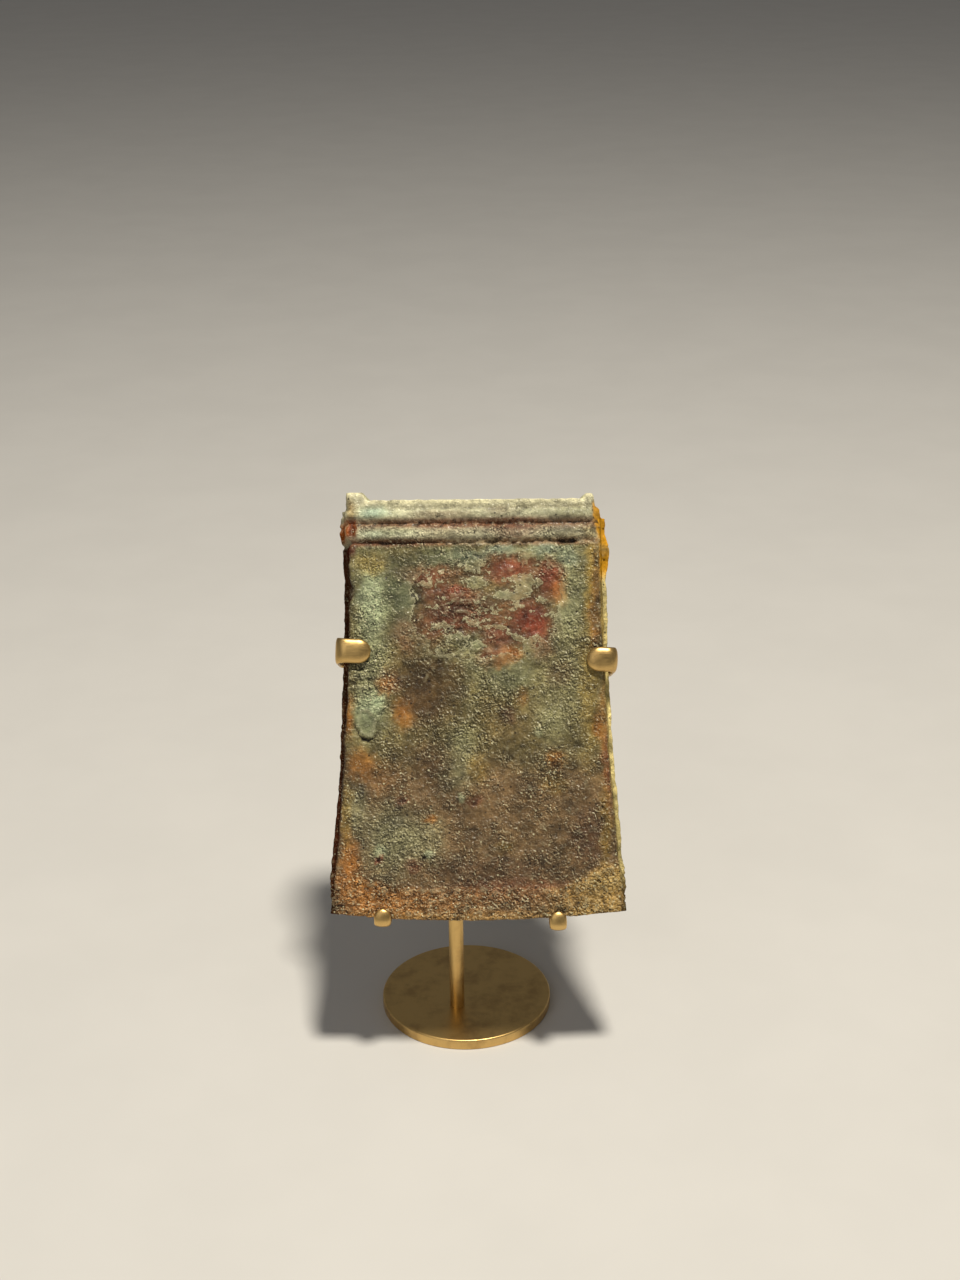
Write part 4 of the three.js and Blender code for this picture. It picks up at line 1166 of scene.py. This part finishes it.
def patina_material(colours):
    """The painted colours with painted light and shade on crust and grain by their slope, then flakes,
    painted highlights, glints, and painted shade in hollows and pits.

    The flake level is jittered by noise before its step, so the flakes have thin ragged edges, which stand
    up as relief and catch the light; their pale colour is partly pale crust and partly a painted highlight.
    """
    n = Nodes("corroded_iron")
    rough, flaked, cavity = n.painted("rough"), n.painted("flaked"), n.painted("cavity")
    # The falls of these two noises are painted light and shade of the crust and the grain
    crust, crust_shading = n.embossed(1.1, 3, 0.65, 0.7, (0, radians(35), 0), (1.25, 1, 1), 1.3)
    grain, grain_shading = n.embossed(0.7, 1, 0.5, -0.6, (0, 0, 0), (1, 1, 1), 0.8)
    mottle = n.cloud(1.7, 4, 0.68)
    level = n.math("ADD", n.painted("flake"), n.times(n.math("SUBTRACT", mottle, 0.5), 0.75))
    level = n.math("ADD", level, n.times(n.math("SUBTRACT", crust, 0.5), 0.28))
    standing = n.span(level, 0.48, 0.52)
    edge = n.times(n.times(n.span(level, 0.495, 0.515), n.span(level, 0.57, 0.53)), flaked)
    body = n.shade(n.painted("patina", "Color"), n.span(mottle, 0.3, 0.7, 0.72, 1.3))
    body = n.mix(n.times(standing, n.times(flaked, 0.2)), body, colours.mint)
    # Painted highlight on the upper edges of the crust, then painted light and shade from both falls
    body = n.mix(n.times(n.span(crust_shading, 0.02, 0.16, 0, 0.18), rough), body, colours.speck)
    body = n.shade(body, n.math("MULTIPLY_ADD", n.span(crust_shading, -0.16, 0.16, -0.48, 0.44), rough, 1.0))
    body = n.shade(body, n.math("MULTIPLY_ADD", n.span(grain_shading, -0.2, 0.2, -0.36, 0.42), rough, 1.0))
    # Pale dots for painted glints
    small_glints, glints = n.spots(1.5, 0.26, 0.25), n.spots(2.3, 0.17, 0.45, (0.0007, 0.0023, 0.0019))
    # Dark dots of painted shade for small pits
    holes = n.spots(1.9, 0.26, 0.2, (0.0031, 0.0017, 0.0004))
    for amount, colour in (
        # The flakes' pale edges: partly pale crust, partly painted highlight
        (n.times(edge, 0.8), colours.speck),
        # Painted shade in the relief's hollows and painted highlights on its bumps
        (n.span(cavity, 0.42, 0.05, 0, 0.45), colours.soot),
        (n.span(cavity, 0.58, 0.95, 0, 0.18), colours.speck),
        # Painted highlights on the upper edges of lumps and painted shade under them
        (n.times(n.span(crust_shading, 0.12, 0.2, 0, 0.7), rough), colours.speck),
        (n.times(n.span(crust_shading, -0.1, -0.19, 0, 0.85), rough), colours.soot),
        # Painted glints: pale dots that stand in for sparkles of light
        (n.times(small_glints, n.span(rough, 0.1, 0.9)), colours.speck),
        (n.times(glints, n.span(rough, -0.1, 0.5, 0, 0.8)), colours.speck),
        # Painted shade in the recesses, and in the dark dots for pits
        (n.times(n.span(n.painted("recess"), 0.25, 0.85), 0.88), colours.soot),
        (n.times(holes, 0.8), colours.soot),
    ):
        body = n.mix(amount, body, colour)
    n.link(body, n.shader.inputs["Base Color"])
    n.link(n.span(crust_shading, 0.06, 0.16, 0.55, 0.24), n.shader.inputs["Roughness"])
    n.shader.inputs["Metallic"].default_value = 0.0
    glossy = n.times(n.span(n.painted("side"), 0, 1, 1, 0), n.span(crust_shading, 0.05, 0.15, 0.3, 0.9))
    n.link(glossy, n.shader.inputs["Specular IOR Level"])
    depth = n.math("ADD", rough, 0.15)
    coarse = n.bump(n.times(crust, depth), 0.9, 1.0, n.bump(n.times(standing, flaked), 0.22))
    n.link(n.bump(n.times(grain, depth), 0.4, 1.0, coarse), n.shader.inputs["Normal"])
    return n.material


def brass_material(sizes, name, brushed):
    """Satin brass: a warm metal with brown film in cloud-shaped patches and fine scratches one way."""
    n = Nodes(name)
    film = n.span(n.cloud(7.0, 4, 0.6), 0.42, 0.75, 0, 0.5)
    scratch = n.cloud(0.35, 3, 0.7, n.moved_place(stretch=brushed))
    n.link(n.mix(film, sizes.brass, sizes.tarnish), n.shader.inputs["Base Color"])
    n.shader.inputs["Metallic"].default_value = 1.0
    n.link(n.span(scratch, 0.3, 0.7, 0.30, 0.46), n.shader.inputs["Roughness"])
    n.link(n.bump(n.math("ADD", scratch, n.cloud(2.5, 2)), 0.05, 0.35), n.shader.inputs["Normal"])
    return n.material


def floor_material(shade):
    """Matt pale paper with the faintest mottle."""
    n = Nodes("pale_floor")
    tone = n.span(n.cloud(60, 3), 0.3, 0.7, 0, 1)
    n.link(n.mix(tone, shade, tuple(0.97 * c for c in shade)), n.shader.inputs["Base Color"])
    n.shader.inputs["Roughness"].default_value = 0.9
    return n.material


# Pieces


def add_piece(name, mesh, material, slot, *nodes):
    """Puts a finished mesh into the scene, on the row's one body, in place of its solid."""
    piece = bpy.data.objects.new(name, mesh)
    bpy.context.scene.collection.objects.link(piece)
    mesh.materials.append(material)
    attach(piece, "root")
    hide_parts(*nodes)


def add_brass(mesh, sizes, metal, node, brushed=(1, 1, 12)):
    """Puts in a piece of the stand under its mesh's name, with scratches as long as brushed says."""
    add_piece(mesh.name, mesh, brass_material(sizes, metal, brushed), "brass", node)


class AXE_OT_head(bpy.types.Operator):
    """Make the axe head with its relief and patina."""

    bl_idname = "axe.head"
    bl_label = "Axe Head"

    def execute(self, context):
        scene = context.scene
        form = AxeForm(scene.axe_head_sizes, scene.crust_relief)
        palette = {key: np.array(getattr(scene.patina_colours, key)) for key in PatinaColours.__annotations__}
        grid, colours, masks = axe_head_surface(form, palette)
        mesh = lofted_mesh("corroded_axe_head", to_frame(form, grid))
        painted = np.concatenate([colours, np.ones(colours.shape[:2] + (1,))], axis=-1)
        attribute = mesh.attributes.new("patina", "FLOAT_COLOR", "POINT")
        attribute.data.foreach_set("color", painted.ravel().astype(np.float32))
        for key, values in masks.items():
            attribute = mesh.attributes.new(key, "FLOAT", "POINT")
            attribute.data.foreach_set("value", values.ravel().astype(np.float32))
        add_piece("corroded_axe_head", mesh, patina_material(scene.patina_colours), "iron", "axe_head")
        return {"FINISHED"}


class AXE_OT_side_strap(bpy.types.Operator):
    """Make the strap behind the axe head, with its two tongues on the front face."""

    bl_idname = "axe.side_strap"
    bl_label = "Side Strap"

    def execute(self, context):
        s = context.scene.stand_sizes
        form = AxeForm(context.scene.axe_head_sizes, context.scene.crust_relief)
        gap, thick, width = s.clearance / MM, s.strap_thickness / MM, s.strap_width / MM
        height, tilt = s.strap_height / MM, s.strap_tilt
        grip = gap + thick / 2
        lowest = height - width / 2 - np.sin(tilt) * form.neck_width / 2
        wide = float(form.half_width(lowest)) + form.seam_height + np.sin(tilt) * width / 2 + grip
        deep = float(form.half_thickness(height)) + grip
        corners = np.array([
            [s.left_tongue / MM, -deep, 0], [-wide, -deep, 0], [-wide, deep, 0],
            [wide, deep, 0], [wide, -deep, 0], [s.right_tongue / MM, -deep, 0],
        ])
        line = rounded_line(corners, s.strap_bend / MM)
        rings = strip_rings(line, (0.0, 0.0, 1.0), width, thick, True, True, 1.05)
        rings[..., 1] += np.clip(rings[..., 1] / deep, -1, 1) * form.face_slope() * rings[..., 2]
        x, z = rings[..., 0].copy(), rings[..., 2].copy()
        rings[..., 0] = x * np.cos(tilt) + z * np.sin(tilt)
        rings[..., 2] = z * np.cos(tilt) - x * np.sin(tilt) + height
        mesh = closed_sweep("brass_side_strap", to_frame(form, rings))
        add_brass(mesh, s, "strap_brass", "side_strap", (10, 1, 1))
        return {"FINISHED"}


def hook_layout(form, sizes):
    """Where the hooks run and where the bar behind them lies, in millimetres of the frame."""
    def on_axe(x, y, z):
        return to_frame(form, np.array([float(x), float(y), float(z)])) / MM

    hooks = {}
    thick = sizes.hook_thickness / MM
    for name, values in (("left", sizes.left_hook), ("right", sizes.right_hook)):
        x, sag, rise = (value / MM for value in values)
        bow = form.edge_bow * (x / (form.edge_width / 2)) ** 2
        bottom = on_axe(x, form.edge_thickness / 2, bow)[2]
        low = on_axe(x, -form.edge_thickness / 2, bow)
        high = on_axe(x, -form.bevel_thickness / 2, form.bevel_length)
        run, tip = bottom - sag - thick / 2, bottom + rise
        hooks[name] = {"x": low[0], "run": run, "tip": tip, "low": low, "up": high - low}
    lowest = min(hook["run"] for hook in hooks.values())
    bar_radius = sizes.crossbar_diameter / MM / 2
    bar_z = lowest - thick / 2 - sizes.clearance / MM - bar_radius
    bar_y = sizes.rod_y / MM - sizes.rod_diameter / MM / 2 - sizes.clearance / MM - bar_radius
    return hooks, lowest, bar_y, bar_z


class AXE_OT_edge_hooks(bpy.types.Operator):
    """Make the two hooks under the cutting edge."""

    bl_idname = "axe.edge_hooks"
    bl_label = "Edge Hooks"

    def execute(self, context):
        s = context.scene.stand_sizes
        form = AxeForm(context.scene.axe_head_sizes, context.scene.crust_relief)
        hooks, lowest, bar_y, _ = hook_layout(form, s)
        width, thick = s.hook_width / MM, s.hook_thickness / MM
        for name, hook in hooks.items():
            up = hook["up"] / np.linalg.norm(hook["up"])
            clear = (s.clearance / MM + thick / 2) / up[2]
            start = hook["low"][1] - clear
            front = [start + (z - hook["low"][2]) * up[1] / up[2] for z in (hook["run"], hook["tip"])]
            corners = np.array([
                [hook["x"], bar_y + width / 2, lowest],
                [hook["x"], front[0], hook["run"]],
                [hook["x"], front[1], hook["tip"]],
            ])
            line = rounded_line(corners, s.hook_bend / MM)
            rings = strip_rings(line, (1.0, 0.0, 0.0), width, thick, False, True, 0.5)
            mesh = closed_sweep(f"brass_{name}_hook", rings * MM)
            add_brass(mesh, s, f"{name}_hook_brass", f"{name}_edge_hook", (1, 10, 1))
        return {"FINISHED"}


class AXE_OT_rod_and_bar(bpy.types.Operator):
    """Make the support rod and the bar that carries the hooks."""

    bl_idname = "axe.rod_and_bar"
    bl_label = "Rod and Crossbar"

    def execute(self, context):
        s = context.scene.stand_sizes
        form = AxeForm(context.scene.axe_head_sizes, context.scene.crust_relief)
        gap, radius = s.clearance / MM, s.rod_diameter / MM / 2
        behind = (2 * gap + s.strap_thickness / MM + radius) * np.hypot(1, form.face_slope())
        x = s.rod_x / MM - form.seat[0] / MM

        def behind_axe(z):
            return to_frame(form, np.array([x, float(form.half_thickness(z)) + behind, z])) / MM

        low, top = behind_axe(form.bevel_length), behind_axe(s.rod_top / MM)
        bend = low + (top - low) * (s.rod_y / MM - low[1]) / (top[1] - low[1])
        bottom = np.array([s.rod_x / MM, s.rod_y / MM, (s.foot_thickness - s.seat_depth) / MM + gap])
        rod = rounded_line(np.array([bottom, bend, top]), s.rod_bend / MM, 20)
        mesh = closed_sweep("brass_rod", rod_rings(rod, radius, dome_start=False) * MM)
        add_brass(mesh, s, "rod_brass", "support_rod")

        hooks, _, bar_y, bar_z = hook_layout(form, s)
        over = s.crossbar_overhang / MM
        left, right = hooks["left"]["x"] - over, hooks["right"]["x"] + over
        ends = np.array([[left, bar_y, bar_z], [right, bar_y, bar_z]])
        mesh = closed_sweep("brass_crossbar", rod_rings(ends, s.crossbar_diameter / MM / 2) * MM)
        add_brass(mesh, s, "crossbar_brass", "lower_crossbar", (10, 1, 1))
        return {"FINISHED"}


class AXE_OT_foot(bpy.types.Operator):
    """Make the turned foot disc."""

    bl_idname = "axe.foot"
    bl_label = "Foot Disc"

    def execute(self, context):
        s = context.scene.stand_sizes
        radius, thick = s.foot_diameter / MM / 2, s.foot_thickness / MM
        angle = np.linspace(0, np.pi / 2, 7)
        bevel, under = 0.6, 0.3
        lower = np.stack([radius - under + under * np.sin(angle), under - under * np.cos(angle)], axis=1)
        lid, height = radius - bevel, thick - bevel
        upper = np.stack([lid + bevel * np.cos(angle), height + bevel * np.sin(angle)], axis=1)
        inner = np.linspace(lid - 0.5, 0.5, 26)
        top = np.stack([inner, np.full(inner.shape, thick)], axis=1)
        profile = np.concatenate([[[0, 0]], [[radius * 0.5, 0]], lower, upper, top, [[0, thick]]])
        mesh = lathed_mesh("brass_foot", profile * MM)
        add_brass(mesh, s, "foot_brass", "foot_disc", (1, 1, 10))
        return {"FINISHED"}


class AXE_OT_studio(bpy.types.Operator):
    """Set up the pale floor, the soft lamps and the camera."""

    bl_idname = "axe.studio"
    bl_label = "Studio"

    def execute(self, context):
        scene = context.scene
        settings = scene.studio_settings
        half = settings.floor_size / 2
        mesh = bpy.data.meshes.new("studio_floor")
        corners = [(-half, -half, 0), (half, -half, 0), (half, half, 0), (-half, half, 0)]
        mesh.from_pydata(corners, [], [(0, 1, 2, 3)])
        mesh.materials.append(floor_material(tuple(settings.floor_colour)))
        floor = bpy.data.objects.new("studio_floor", mesh)
        scene.collection.objects.link(floor)

        target = Vector((0.005, 0.005, 0.11))
        for name, place, size, power, glow in (
            ("key_lamp", (0.19, -0.30, 1.60), 0.20, settings.key_power, (1.0, 0.94, 0.82)),
            ("fill_lamp", (-0.55, -0.85, 0.75), 0.9, settings.fill_power, (1.0, 0.97, 0.93)),
        ):
            data = bpy.data.lights.new(name, "AREA")
            data.shape = "DISK"
            data.size = size
            data.energy = power
            data.color = glow
            lamp = bpy.data.objects.new(name, data)
            aim = (target - Vector(place)).to_track_quat("-Z", "Y").to_matrix().to_4x4()
            lamp.matrix_world = Matrix.Translation(place) @ aim
            scene.collection.objects.link(lamp)

        world = bpy.data.worlds.new("even_light")
        world.use_nodes = True
        background = world.node_tree.nodes["Background"]
        background.inputs["Color"].default_value = (1.0, 0.975, 0.94, 1)
        background.inputs["Strength"].default_value = settings.sky
        scene.world = world

        data = bpy.data.cameras.new("camera")
        data.sensor_fit = "AUTO"
        sensor, frame_pixels = 36.0, 1280
        data.sensor_width = sensor
        data.lens = settings.focal_pixels / frame_pixels * sensor
        data.clip_start, data.clip_end = 0.01, 50
        camera = bpy.data.objects.new("camera", data)
        pitch = Matrix.Rotation(radians(90) - settings.camera_pitch, 4, "X")
        roll = Matrix.Rotation(-settings.camera_roll, 4, "Z")
        camera.matrix_world = Matrix.Translation(settings.camera_place) @ pitch @ roll
        scene.collection.objects.link(camera)
        scene.camera = camera
        scene.view_settings.view_transform = "Standard"
        return {"FINISHED"}


class AXE_PT_panel(bpy.types.Panel):
    """Lists the pieces and their sizes."""

    bl_idname = "AXE_PT_panel"
    bl_label = "Axe Head"
    bl_space_type = "VIEW_3D"
    bl_region_type = "UI"
    bl_category = "Axe Head"

    def draw(self, context):
        for operator in OPERATORS:
            self.layout.operator(operator.bl_idname)
        for key, group in GROUPS.items():
            box = self.layout.box()
            box.label(text=key.replace("_", " ").capitalize())
            for prop in group.__annotations__:
                box.prop(getattr(context.scene, key), prop)


GROUPS = {
    "axe_head_sizes": AxeHeadSizes,
    "crust_relief": CrustRelief,
    "patina_colours": PatinaColours,
    "stand_sizes": StandSizes,
    "studio_settings": StudioSettings,
}
OPERATORS = (
    AXE_OT_head, AXE_OT_side_strap, AXE_OT_edge_hooks, AXE_OT_rod_and_bar, AXE_OT_foot, AXE_OT_studio,
)


def register():
    for cls in (*GROUPS.values(), *OPERATORS, AXE_PT_panel):
        bpy.utils.register_class(cls)
    for key, group in GROUPS.items():
        setattr(bpy.types.Scene, key, bpy.props.PointerProperty(type=group))


def unregister():
    for key in GROUPS:
        delattr(bpy.types.Scene, key)
    for cls in reversed((*GROUPS.values(), *OPERATORS, AXE_PT_panel)):
        bpy.utils.unregister_class(cls)


def main():
    register()
    bpy.ops.axe.head()
    bpy.ops.axe.side_strap()
    bpy.ops.axe.edge_hooks()
    bpy.ops.axe.rod_and_bar()
    bpy.ops.axe.foot()
    bpy.ops.axe.studio()


if __name__ == "__main__":
    main()
